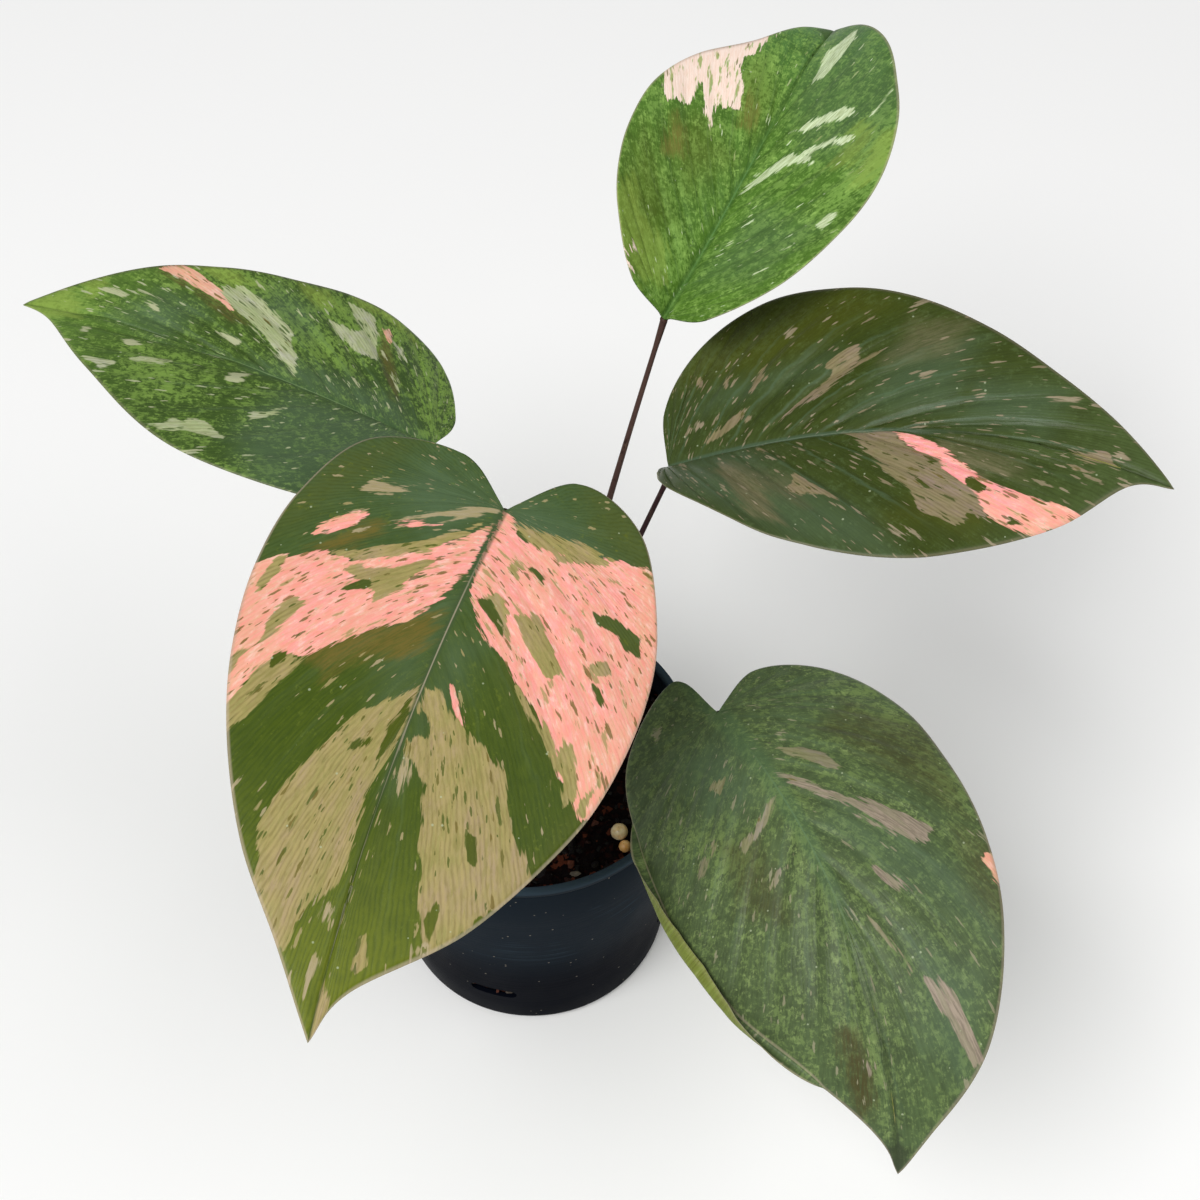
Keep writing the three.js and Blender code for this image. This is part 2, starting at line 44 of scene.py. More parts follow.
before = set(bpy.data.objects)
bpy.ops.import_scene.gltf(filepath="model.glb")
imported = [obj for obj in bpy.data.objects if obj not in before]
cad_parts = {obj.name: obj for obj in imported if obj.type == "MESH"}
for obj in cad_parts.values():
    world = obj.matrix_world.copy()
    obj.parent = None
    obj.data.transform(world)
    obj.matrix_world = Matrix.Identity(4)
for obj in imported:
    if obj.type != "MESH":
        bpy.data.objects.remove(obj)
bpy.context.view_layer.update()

MM = 0.001

# The pot and what stands in it, in millimetres and degrees
POT_HEIGHT = 76
POT_TOP_RADIUS = 40
POT_BASE_RADIUS = 34.5
POT_WALL = 1.2
POT_FLOOR = 1.6
LIP_HEIGHT = 2.4
LIP_THICKNESS = 1.9
SLOT_COUNT = 4
SLOT_WIDTH = 12
SLOT_HEIGHT = 4
SLOT_MIDDLE_HEIGHT = 15.5
FIRST_SLOT_AZIMUTH = -105
SLOT_CUTTER_DEPTH = 8
SHARPEST_SMOOTH_TURN = 34
SOIL_HEIGHT = 68
SOIL_RIM_HEIGHT = 66.8
SOIL_RELIEF = 1.2
SOIL_GAP = 0.35
SOIL_WALL_GAP = 0.05
SOIL_CRUMBS = 0.75
SOIL_FACES_ACROSS = 130
CROWN_MIDDLE = (1, 2)
CROWN_RADIUS = 4.2
STALK_FOOT_RADIUS = 1.6
STALK_FOOT_HEIGHT = 71.5
STALK_TOP_RADIUS = 0.55
STALK_GAP = 0.35
STALK_ROOT = 2.5
STALK_REACH_INTO_BLADE = 0.75
BEADS = {"bead_large": ((22.1, -20.3), 4.0), "bead_small": ((23.4, -23.9), 2.9)}
BEAD_SHADES = {"bead_large": (1, 1, 1), "bead_small": (1, 0.72, 0.45)}

# The bark chips: sizes in millimetres with the share of each, and where none lie
CHIP_SIZES = (0.7, 1.0, 1.5, 2.3)
CHIP_SHARES = (0.4, 0.33, 0.2, 0.07)
CHIP_LIMIT_HEIGHT = 67
CHIP_RIM_GAP = 1.2
CHIPS_BEHIND_SLOT = 16
CLEAR_AROUND_CROWN = 6.5

# The grey chips that lie in front: place beside and behind the pot's middle, size and shade
GREY_CHIPS = [(-2, -33.5, 1.7, 0.97), (12, -31, 1.0, 0.96), (-20, -27, 0.9, 0.96)]

# The crown's section, as heights in millimetres with shares of its radius, and the azimuth, height
# and width of each withered scale leaf round it
CROWN_SECTION = [(46, 0.8), (50, 1), (58, 1), (66, 1), (70, 1.03), (72, 1), (73.5, 0.98), (74.8, 0.86),
                 (75.9, 0.7), (76.9, 0.48), (77.5, 0.3), (77.8, 0.08)]
SCALE_LEAF_FOOT = 66
SCALE_LEAF_THICKNESS = 0.25
SCALE_LEAVES = [(-70, 9.5, 120), (60, 8, 110), (175, 8.5, 100)]

# A stalk's path between its foot and its blade: shares of the way, and of its lean there
KNEE_PLACE = 0.35
NECK_PLACE = 0.72
NECK_LEAN = 0.7

# How the veins of a blade run
FIRST_VEIN_REACH = 0.1
SECOND_VEIN_REACH = 0.156
TIP_CROWDING = 1.25
MIDRIB_CROWDING = 1.2
LAST_VEIN_START = 0.75
FAN_END = 0.22
FAN_REACH = 0.15
ELBOW_OUT = 0.55
ELBOW_ALONG = 0.3
LATERAL_VEINS = 13

# How a blade bends and how thick it is, in millimetres, shares and radians
ARCH_WIDTH = 40
MIDRIB_STEPS = 240
MARGIN_WAVES = 3.5
WAVE_PHASE = {"left": 2.6, "right": 0.8}
CAD_BLADE_THICKNESS = 0.7
THIN_MARGIN = 0.04
MARGIN_THICKNESS = 0.35
CURL_EASE = 0.6
CURL_COLUMNS = 14
FLANGE_START = 0.75

# The maps and attributes that carry the markings. Flat has 100 mm to a unit, from the blade's foot at its
# middle. Veins has the reach of a vein, moved on for the right half, and the share of the way along it.
# The depths in patches are told up to DEEPEST millimetres.
FLAT_UNIT = 100
FLAT_FOOT = (0.5, 0.2)
RIGHT_HALF = 2
DEEPEST = 9

# The viewpoint, in metres, degrees and millimetres of lens, and the lamps, in watts per unit of key light
LENS = 54
SENSOR_WIDTH = 36
CAMERA_PLACE = (0.0176, -0.2362, 0.4324)
CAMERA_TILT = 38.1
LAMPS = {
    "key": dict(place=(-1.0, -1.3, 2.6), size=1.6, watts=13.4),
    "fill": dict(place=(1.5, -0.6, 2.4), size=2.0, watts=4.4),
}
LAMP_AIM = (0, 0, 0.1)
ROOM_LIGHT = 0.26
FLOOR_REACH = 4

# How each blade is coloured. foot, middle and tip are its greens, dab and deep its mottling, mottled the
# share of it; tan, pale and brown are colours of patches, and rose tints the pink. veined, lined and bloom
# say how strongly the painted sheen on the side veins, the fine veins and the painted sheen of the cool
# tones show; flecks and dots are shares, and margin the strength of the pale edge. relief is the height of
# the side veins in millimetres. rib is a band along the midrib, wide millimetres across, with a line fine
# millimetres across that keeps to_tip of its strength to the tip.
FINISHES = {
    "front": dict(
        # The bluer green of the foot is partly painted sheen.
        foot=(0.066, 0.112, 0.04), middle=(0.058, 0.09, 0.007), tip=(0.15, 0.18, 0.014),
        dab=(0.125, 0.165, 0.018), deep=(0.03, 0.056, 0.008), mottled=0.16, brown=(0.15, 0.118, 0.024),
        veined=0.1, bloom_and_sheen=0.5, lined=0.38, rose=(1, 1, 1),
        tan=(0.345, 0.282, 0.118), pale=(0.41, 0.335, 0.205), flecks=0.13, dots=0.16,
        relief=0.26, roughness=0.42, margin=0.45,
        rib=dict(band=(0.052, 0.084, 0.032), line=(0.48, 0.4, 0.3),
                 wide=1.0, fine=0.2, cover=0.7, to_tip=0.35)),
    "left": dict(
        foot=(0.043, 0.079, 0.022), middle=(0.05, 0.095, 0.017), tip=(0.115, 0.228, 0.031),
        dab=(0.196, 0.322, 0.062), deep=(0.036, 0.068, 0.014), mottled=0.52, brown=(0.105, 0.092, 0.024),
        veined=0.22, bloom_and_sheen=0.62, lined=0.3, rose=(0.74, 1.2, 1.08),
        tan=(0.4, 0.44, 0.265), pale=(0.46, 0.47, 0.28), flecks=0.12, dots=0.1,
        relief=0.4, roughness=0.42, margin=0.12,
        rib=dict(band=(0.05, 0.105, 0.04), line=(0.22, 0.32, 0.14),
                 wide=1.3, fine=0.2, cover=0.4, to_tip=0.0)),
    "top": dict(
        foot=(0.09, 0.195, 0.022), middle=(0.08, 0.18, 0.024), tip=(0.09, 0.22, 0.056),
        dab=(0.225, 0.395, 0.08), deep=(0.04, 0.096, 0.012), mottled=0.62, brown=(0.17, 0.165, 0.034),
        veined=0.16, bloom_and_sheen=0.4, lined=0.25, rose=(0.95, 1.3, 1.3),
        tan=(0.3, 0.36, 0.13), pale=(0.74, 0.86, 0.56), flecks=0.05, dots=0.09,
        relief=0.3, roughness=0.44, margin=0.3,
        rib=dict(band=(0.058, 0.14, 0.032), line=(0.1, 0.22, 0.07),
                 wide=1.5, fine=0.2, cover=0.5, to_tip=0.0)),
    "right": dict(
        foot=(0.05, 0.074, 0.016), middle=(0.046, 0.066, 0.01), tip=(0.066, 0.1, 0.028),
        dab=(0.078, 0.115, 0.036), deep=(0.026, 0.036, 0.007), mottled=0.36, brown=(0.165, 0.15, 0.078),
        veined=0.38, bloom_and_sheen=0.5, lined=0.3, rose=(1.12, 0.98, 1.2),
        tan=(0.245, 0.198, 0.118), pale=(0.34, 0.28, 0.19), flecks=0.2, dots=0.1,
        relief=0.5, roughness=0.38, margin=0.15,
        # On this blade the rib band is painted sheen, bluish near the foot.
        rib=dict(band=(0.072, 0.12, 0.076), line=(0.17, 0.22, 0.15),
                 wide=1.0, fine=0.22, cover=0.6, to_tip=0.0)),
    "low": dict(
        foot=(0.09, 0.135, 0.058), middle=(0.083, 0.121, 0.048), tip=(0.078, 0.121, 0.047),
        dab=(0.176, 0.252, 0.082), deep=(0.036, 0.05, 0.023), mottled=0.54, brown=(0.066, 0.058, 0.02),
        veined=0.24, bloom_and_sheen=0.55, lined=0.22, rose=(0.72, 1.1, 0.9),
        tan=(0.25, 0.235, 0.145), pale=(0.29, 0.28, 0.18), flecks=0.06, dots=0.1,
        relief=0.4, roughness=0.4, margin=0.3,
        rib=dict(band=(0.08, 0.15, 0.066), line=(0.12, 0.2, 0.1),
                 wide=3.0, fine=0.3, cover=0.4, to_tip=0.0)),
}

# Each blade's attachment, bearing, bend and outline, in millimetres and degrees
BLADES = {
    "front": dict(
        attachment=(0.1, -18.8, 182), heading=250, sway=7, dip=0.6, droop=22.4, bend=1.5,
        roll=-7.5, twist=-4.8, fold=dict(left=-0.4, right=3), lift=dict(left=0, right=1), arch=14.3,
        length=103.2, wave=0.5, stalk_lean=(0, 1.5, 0),
        left=[(10.7, -12.1), (25.1, -6.6), (34.6, 11.3), (37.5, 27.6),
              (36.3, 45.6), (31.3, 60.7), (20.3, 80.1), (4.3, 94.3)],
        right=[(12, -8.6), (29.4, -5.5), (36, 10.7), (36.9, 27.7),
               (33.4, 44.3), (27.5, 60.3), (19.3, 75.7), (9, 89.5)],
    ),
    "left": dict(
        attachment=(-17, 20.7, 157.2), heading=172.9, sway=-17.2, dip=-27.6, droop=42.8, bend=1.5,
        roll=8.2, twist=-6.3, fold=dict(left=9.8, right=6.2), lift=dict(left=5.4, right=-6.5), arch=10.2,
        length=93.9, wave=0.4, stalk_lean=(1, 1, 0),
        left=[(11.5, -9.1), (26.6, -4.4), (33.4, 19.2), (32.1, 43.5), (16.9, 67.1), (4.2, 83.5)],
        right=[(10.5, -3.7), (28, 1), (34.5, 14.2), (34, 28.5),
               (28.6, 43), (23.9, 57.3), (19, 69.6), (9.3, 82.5)],
    ),
    "top": dict(
        attachment=(30.7, 36.7, 178), heading=60, sway=9.3, dip=-15.7, droop=45.4, bend=3.2,
        roll=9.2, twist=-26.2, fold=dict(left=19.8, right=15.7), lift=dict(left=33.3, right=26.5), arch=5.5,
        length=99, wave=0.3, stalk_lean=(-1, 0, 0),
        left=[(13.4, 0.5), (22.5, 10.7), (26.4, 24), (27.2, 38),
              (25.7, 50.2), (21.3, 63.2), (12.3, 76.3), (6, 93.1)],
        right=[(12.7, -0.5), (25.3, 9.2), (31.7, 23.3), (33.4, 37.1),
               (30.9, 51.6), (25.4, 64.4), (18.8, 77.2), (8.9, 90.1)],
    ),
    "right": dict(
        attachment=(31.5, 11.4, 160.2), heading=-6.7, sway=-23.1, dip=-30.5, droop=35.9, bend=1.5,
        roll=4, twist=12.6, fold=dict(left=2.3, right=1.4), lift=dict(left=4.7, right=48.6), arch=7.7,
        length=101.6, wave=0.4, stalk_lean=(-1.3, 0, 0),
        left=[(15.3, -0.8), (28.7, 6.4), (37.6, 19.7), (37.3, 34),
              (31.8, 48.9), (24.7, 62.4), (15.8, 75.3), (7.7, 89.4)],
        right=[(12.1, 3.2), (23.9, 10), (32.9, 26.9), (33.7, 39.7),
               (32, 55.7), (27.1, 67.9), (15.8, 85.1), (3.2, 94.2)],
    ),
    "low": dict(
        attachment=(41.6, -27.8, 129.6), heading=298.7, sway=-18.5, dip=-14.3, droop=78.5, bend=1.5,
        roll=12.3, twist=11.8, fold=dict(left=-3.2, right=-4.7), lift=dict(left=-8.5, right=-13.3), arch=25.1,
        length=104.2, wave=0.4, stalk_lean=(4, -3, 1),
        curl=dict(side="right", start=0.3, end=0.86, radius=1.1, turn=180, flange=2, inset=2.4),
        left=[(14.2, -7.3), (28.3, -0.8), (34.6, 15), (34.2, 30.9),
              (32.1, 48.1), (28.2, 62.8), (18.9, 81.5), (6.5, 95.1)],
        right=[(3.1, -14.6), (22.5, -9.4), (31.8, 7), (35.1, 24.7),
               (35.1, 42.5), (30.8, 60.6), (23.7, 73.5), (4.2, 95)],
    ),
}

# The grown-in patches of each blade, as rough outlines beside and along the midrib in millimetres.
# Negative places are on the left half.
MARKINGS = {
    "front": {
        "pink": [
            [(0, 0.5), (-8, 4), (-16, 3), (-24, 0.4), (-31, 0), (-38, 8), (-40, 22), (-40, 40), (-36, 53),
             (-33, 54.5), (-30.5, 50), (-27, 47), (-23, 42), (-20, 38), (-16, 35), (-12, 31), (-9, 29.5),
             (-4, 25), (-1, 19.5), (-0.2, 15)],
            [(0.6, 4), (1, 16), (4, 25), (7, 29.5), (12, 33), (17, 38.5), (21, 42.5), (26, 44), (28.4, 50),
             (29, 56), (31.4, 62), (36, 54), (39, 42), (38, 28), (34, 25), (30, 23.5), (26, 21.5),
             (21, 21.4), (14, 17.6), (8, 13), (3, 7.4)], [(-9.8, 45.8), (-8, 45), (-3, 38.8), (-4.5, 38.6)],
            [(22, 11.5), (24, 15), (29.5, 19.2), (29.5, 17), (26, 13), (23.5, 11)],
            [(9, 8.2), (14, 11), (18.5, 13), (15, 10)], [(-19, 71.5), (-17.4, 76), (-17.2, 71)],
            [(10, 84.5), (12, 80), (12.6, 81.5), (11, 86)]],
        "tan": [
            [(-13.5, 88), (-28, 69), (-27, 66), (-22, 58.5), (-18.5, 51.5), (-14, 47.5), (-10, 46),
             (-6, 43.5), (-2.5, 40.5), (-0.3, 40.5), (-0.6, 45), (-4, 46.5), (-4, 49), (-1.2, 51),
             (-1.2, 53), (-4, 55.5), (-6.8, 58), (-6.5, 61), (-8, 64), (-8.5, 68), (-10.5, 71), (-11, 76),
             (-12.5, 81)],
            [(0.3, 39.5), (2, 41.5), (6, 46.5), (9.5, 50), (10.5, 53.5), (13, 58), (14.5, 62.5), (16.5, 67),
             (17.5, 72.5), (16, 78), (14.5, 83), (12, 88), (9, 91.5), (7, 90.5), (7.2, 86), (6, 82.5),
             (3.5, 80), (1.6, 76.5), (1.5, 72), (2.2, 66), (2.4, 61), (1, 56), (0.3, 50)],
            [(2.4, 4.4), (6, 8.6), (10, 12.5), (14, 15.5), (17, 16.5), (20, 19.5), (26, 21.5), (21, 21.6),
             (14, 18), (8, 13.4), (4, 8.6)],
            [(20, 41.6), (23.6, 48), (25.6, 55), (28.6, 61), (30.6, 63), (29.6, 54), (28, 47),
             (24.6, 43.4)], [(30, 43), (31.6, 50), (33.2, 52), (32.6, 45)],
            [(-12, 5.4), (-15, 2.8), (-19, 2.2), (-22, 0.8), (-22, 2.6), (-17, 5), (-13, 7)],
            [(-31.5, 50), (-29.6, 53), (-28, 48), (-26, 45), (-25.6, 40), (-27.6, 41), (-29.6, 45)],
            [(-22, 29), (-17, 26), (-12, 19), (-14, 19), (-19, 24)],
            [(-6.5, 89.5), (-4.2, 90.5), (-3.2, 85.5), (-4.6, 85)],
            [(-0.8, 103), (-1.5, 97), (-0.3, 93), (0.5, 98)], [(11, 83), (15.5, 86), (15, 81), (12, 80)],
            [(-20, 1), (-19, 3.5), (-12, 5.4), (-5, 4), (-2, 2), (-8, 2), (-14, 1)],
            [(-22, 28.5), (-19, 30), (-14, 25.5), (-9.6, 21), (-12, 20), (-17, 22.5), (-20, 26)],
            [(-10.5, 26), (-8, 24.5), (-3, 18.6), (-6, 18), (-9, 20.6)],
            [(-34.6, 46), (-33.4, 53), (-32, 52.6), (-33, 45)],
            [(-27, 47.4), (-23.5, 43.2), (-19, 39.2), (-14.6, 34.8), (-15.2, 34), (-19.6, 37.8),
             (-24, 41.4)], [(-30, 24), (-27, 27), (-25, 25), (-28, 22.6)],
            [(-8, 13.4), (-5.4, 12), (-5, 9.4), (-8, 11)],
            [(7, 16.4), (9, 21), (12, 25.6), (14, 28), (15, 26), (19, 25), (22, 23.4), (19, 21.8),
             (13, 19.8), (9, 16.6)], [(32, 24), (32.4, 29), (33.6, 34), (34.6, 31), (34.2, 25)],
            [(25.6, 33), (27.4, 40), (29, 44), (29.4, 38), (27.6, 32)]],
        "green": [
            [(-33.5, 18.6), (-30.5, 18.2), (-28, 16), (-24, 15.8), (-22.5, 13.6), (-27, 13), (-32, 14.2)],
            [(-2.6, 20.5), (-5.5, 22.5), (-9.5, 26.4), (-8.2, 22.8), (-5, 20)],
            [(-12.5, 12.5), (-8.5, 10.4), (-9.5, 9.6), (-12, 11)],
            [(-7.2, 6.5), (-3.6, 4.2), (-4, 3.6), (-7, 5.2)],
            [(-30.8, 31.8), (-29.5, 31), (-27.5, 28), (-29, 28.6)],
            [(-18.5, 68.5), (-17, 68), (-15.5, 63.6), (-17, 63.8)],
            [(-14.5, 83), (-12.8, 80), (-14, 76), (-15, 78.5)],
            [(1, 43), (3, 50), (2.6, 56), (1.4, 52), (0.6, 47)], [(4.5, 52), (8, 54.5), (7.5, 56), (5, 54)],
            [(24, 41.5), (26.5, 44), (25.5, 46.5), (23.5, 44)],
            [(14, 24.5), (18, 25), (20.5, 28), (16, 26.8)]],
        "brown": [
            [(1.6, 26), (2.4, 34), (6, 37), (10, 38), (14, 41), (16.6, 45), (20, 42.6), (18.4, 39),
             (13, 34), (9, 31), (5, 27)], [(18, 14), (24, 21), (30, 22), (26, 17.5), (20, 12)]],
        "pale": [
            [(4, 4), (8, 7), (10, 9), (7, 5)],
            [(13, 0.5), (18, 3), (20, 6), (25.5, 6.6), (24.5, 4), (20, 3.4), (15, 0.4)],
            [(1, 1.2), (8, 5.6), (15, 9.4), (19, 12.6), (14, 8), (7, 4)],
            [(-14.8, 84), (-12.6, 87), (-12, 84.5), (-13.2, 83.6)], [(2, 82), (3.4, 85), (3.2, 81)],
            [(1.6, 90), (3, 96), (2.8, 90)], [(-2.6, 60), (-1.2, 57), (-2, 53), (-3, 56)]],
    },
    "left": {
        "pink": [
            [(18.4, 69.5), (20.2, 67), (19.6, 61), (18, 56.5), (16, 52), (12.8, 50), (14, 54), (15.6, 59),
             (17, 64)], [(24.5, 16), (28.5, 17.6), (30, 16.4), (26, 14.4)]],
        "tan": [
            [(18.5, 55), (20.5, 51), (18.5, 45), (16, 40), (13, 36), (10, 35), (8, 34), (3, 31), (2.5, 32),
             (5, 36), (8, 40), (11, 44), (13, 48.5), (16, 53)],
            [(17, 22), (19.5, 27), (22.4, 30), (22.4, 25), (24.5, 21.5), (28, 26), (31.5, 28.5), (31, 21),
             (27, 19), (22, 18), (17, 16.8)], [(22, 10), (25, 12), (27, 15.4), (25.6, 15), (23, 12.4)],
            [(-28, 51.5), (-26.4, 48.6), (-24, 47), (-25.4, 44.6), (-27.6, 46)],
            [(-26, 45), (-22.6, 44.6), (-22, 42.6), (-24.4, 38), (-25.6, 37.4), (-25.8, 41)],
            [(-16.2, 65), (-14, 70), (-12.8, 63.4), (-15, 63)],
            [(-11.2, 61), (-10, 57), (-6.6, 53), (-7, 55.4), (-9.2, 59.6)],
            [(-18.4, 36), (-15, 35.7), (-9, 30.2), (-10, 30), (-15, 33.2)]],
        "lime": [
            [(19.5, 66), (23, 61), (24.6, 54), (21.5, 48.5), (19.8, 52), (20.2, 58)],
            [(30, 8), (36, 16), (35, 29), (31, 26), (33, 18)],
            [(24, 33), (27, 30), (31, 34), (29, 40), (26, 38)],
            [(-2, 95), (-4, 84), (-1, 78), (6, 84), (8, 88)], [(4, 79), (8, 78), (12, 80), (8, 84)]],
        "brown": [
            [(9.6, 49), (12, 54.5), (15.2, 61), (14.6, 55), (13.2, 50), (10.8, 46)],
            [(8, 10.6), (14, 14), (20, 17), (26, 18), (24, 15.4), (18, 13.2), (12, 10.8)],
            [(16.5, 62), (19, 71), (17, 70), (14.5, 62)]],
        "pale": [
            [(11, 10.4), (17, 12.8), (14, 10.8)], [(4, 45), (6, 50.4), (7, 50), (5.4, 45)],
            [(6.4, 71), (7.4, 79.4), (8.6, 76), (7.8, 71.6)], [(5.6, 64), (8, 68), (7.4, 64.6)],
            [(9, 64), (9.6, 70.4), (10, 66)], [(-8.8, 42.6), (-5, 43), (-2.6, 40), (-6, 40.6)],
            [(-7, 64), (-5, 66), (-3.6, 64), (-5.4, 62.4)], [(-6, 74), (-4, 75.6), (-3, 73.6)]],
    },
    "top": {
        "cream": [
            [(-10.4, 82), (-10.8, 70), (-13, 68), (-12, 64), (-10, 60), (-7.2, 52), (-13, 50.5),
             (-12, 46.5), (-9.8, 41), (-16, 50), (-18.4, 53.6), (-17.6, 47), (-22, 44), (-24, 45),
             (-26.5, 52), (-24, 62), (-19, 71), (-13.5, 80)],
            [(-20.5, 6.4), (-17, 3.4), (-13.6, 1), (-19, 2)],
            [(-16.4, 6), (-15, 6.4), (-14.2, 5.2), (-15.8, 4.8)]],
        "pale": [
            [(4, 72), (3.4, 78), (6, 84), (8.6, 87), (9.4, 80), (9.2, 75), (7, 67), (5, 67)],
            [(0.8, 33.6), (3, 38), (6, 41.6), (10, 44), (14, 43.6), (16, 41), (11, 41), (7, 38), (3, 34.6)],
            [(11, 44.4), (16, 47), (20, 48.8), (22.4, 47.6), (17, 45.8), (13, 43.8)],
            [(6, 50.2), (12, 55), (18, 57), (20, 55), (14, 52.8), (9, 50.2)],
            [(23.4, 54), (26, 60.4), (24.6, 54)], [(24.8, 26), (26.4, 29), (28.6, 27.6), (27, 24.4)]],
        # The first and the last, on the right half, are painted sheen.
        "lime": [
            [(27, 36), (31, 36), (33.4, 42), (32, 50), (28, 50)],
            [(-22, 20), (-18, 14), (-8, 12), (-4, 6), (-10, 1), (-20, 3), (-25, 12)],
            [(20, 40), (26, 40), (27, 50), (22, 52)]],
        "brown": [
            [(-16, 40), (-14, 33), (-18, 30), (-19, 42)], [(-8, 58), (-5, 56), (-3, 50), (-6, 48)]],
    },
    "right": {
        "pink": [
            [(0.5, 48), (2, 54), (5, 60), (8, 64.5), (10, 68), (11, 73), (12, 80), (11.4, 86), (12.6, 89),
             (16, 86), (19, 82), (19, 76), (18, 71), (15, 67.5), (11, 62), (7.6, 58), (3.6, 51.5)],
            [(5, 45.4), (8, 47.5), (6.6, 44.6)]],
        "tan": [
            [(-0.2, 37), (0.3, 48), (3.4, 52), (7, 58), (11, 62), (15, 68), (18, 71), (19.8, 68),
             (21.5, 66), (20.6, 58), (16.8, 56.6), (12, 49.6), (8, 45.6), (4, 42.8)],
            [(-21, 37), (-20.4, 39.6), (-15, 38), (-10, 33), (-7, 28.4), (-9.6, 29.6), (-14, 34),
             (-18, 33.4)], [(-19.4, 42.4), (-18, 42), (-11.6, 33), (-3.4, 22), (-4, 22), (-12, 32)],
            [(-20.4, 20.8), (-16, 21), (-12.6, 17.8), (-17, 18)], [(-20.4, 13.6), (-15.6, 12.4), (-17, 12)],
            [(-21.4, 5.4), (-17, 7.2), (-18.6, 8)], [(-9, 17), (-7, 18), (-4, 12), (-3, 8), (-5, 10)],
            [(0.4, 19), (4, 23), (7.8, 24.8), (5, 21.6)],
            [(14, 32), (17.4, 36), (21, 42.8), (20.2, 35), (19, 31), (16.6, 32.4)],
            [(-2, 88), (0, 90.5), (1.6, 85), (0, 83)], [(2.4, 82.4), (3, 87.6), (4, 84)]],
        "green": [
            [(10, 65.4), (12, 69), (14, 68.4), (12.6, 65)], [(17.4, 67.6), (20, 70.4), (20.4, 67)],
            [(5.4, 55), (8, 59), (9, 57.6)], [(16.6, 75), (18, 78.4), (18.6, 75)],
            [(12, 55), (14.6, 59), (15, 57)]],
        "brown": [
            [(8, 15), (12, 20), (18, 26), (26, 31), (30, 34), (29, 28), (22, 22), (14, 16)],
            [(3, 58), (6, 66), (8, 72), (9.6, 68), (6, 60)]],
        "pale": [
            [(0.6, 2.6), (7, 6.6), (13, 9.6), (7, 5.4)], [(-9, 6.6), (-7.6, 8.6), (-7.4, 6)],
            [(-27.6, 25.4), (-25.4, 25.2), (-26.4, 24)], [(-11, 80), (-9.4, 76), (-10, 75)],
            [(5, 80.6), (5.4, 83), (6, 80)], [(25, 53), (26.6, 58), (27, 54.4)],
            [(10, 37), (12.6, 40), (13, 39)], [(-13.6, 54), (-12, 52), (-13, 51)],
            [(-3, 90), (-1.6, 93), (-1.4, 90)]],
    },
    "low": {
        "mauve": [
            [(-0.8, 19.5), (-4, 24), (-9, 30), (-15, 35), (-20, 39.6), (-23.4, 43), (-20, 45.8),
             (-16, 42.4), (-12, 37), (-9, 32), (-5, 27), (-2, 22)],
            [(-17.4, 83.6), (-14.8, 84.4), (-13, 76), (-10, 68), (-12, 68.2), (-14.4, 72), (-16.4, 78)],
            [(-14.6, 54), (-10, 49.6), (-9, 47), (-13.4, 51)], [(2.6, 81), (3.6, 84), (4, 80)]],
        "tan": [
            [(-13.6, 25.4), (-11, 24.4), (-5.6, 18), (-5, 15.6), (-9.4, 17.6), (-12.4, 21)],
            [(1.6, 25), (4, 27.4), (9, 30.4), (12.4, 32.8), (12.4, 29), (8, 28.6), (4, 25.2)],
            [(4, 38), (8, 41), (12.4, 42.4), (8, 39)], [(7, 13.6), (10, 16), (11.4, 13)],
            [(-4, 55), (-6.4, 61), (-8.4, 66.4), (-5.4, 57)], [(19, 27), (22, 30), (23, 28), (20.6, 25.4)],
            [(16, 24), (17.6, 26.4), (18, 24)], [(25.4, 13), (27, 16), (27.4, 13.4)]],
        "pink": [
            [(-29, 51), (-29.6, 57), (-34, 56), (-33, 51)]],
        "brown": [
            [(3, 88), (6, 91), (8, 84), (7, 74), (4.6, 74)]],
        "pale": [
            [(11.6, -8), (14, -6.4), (13, -9)], [(-8, 12), (-7, 13.6), (-6.2, 12)]],
    },
}
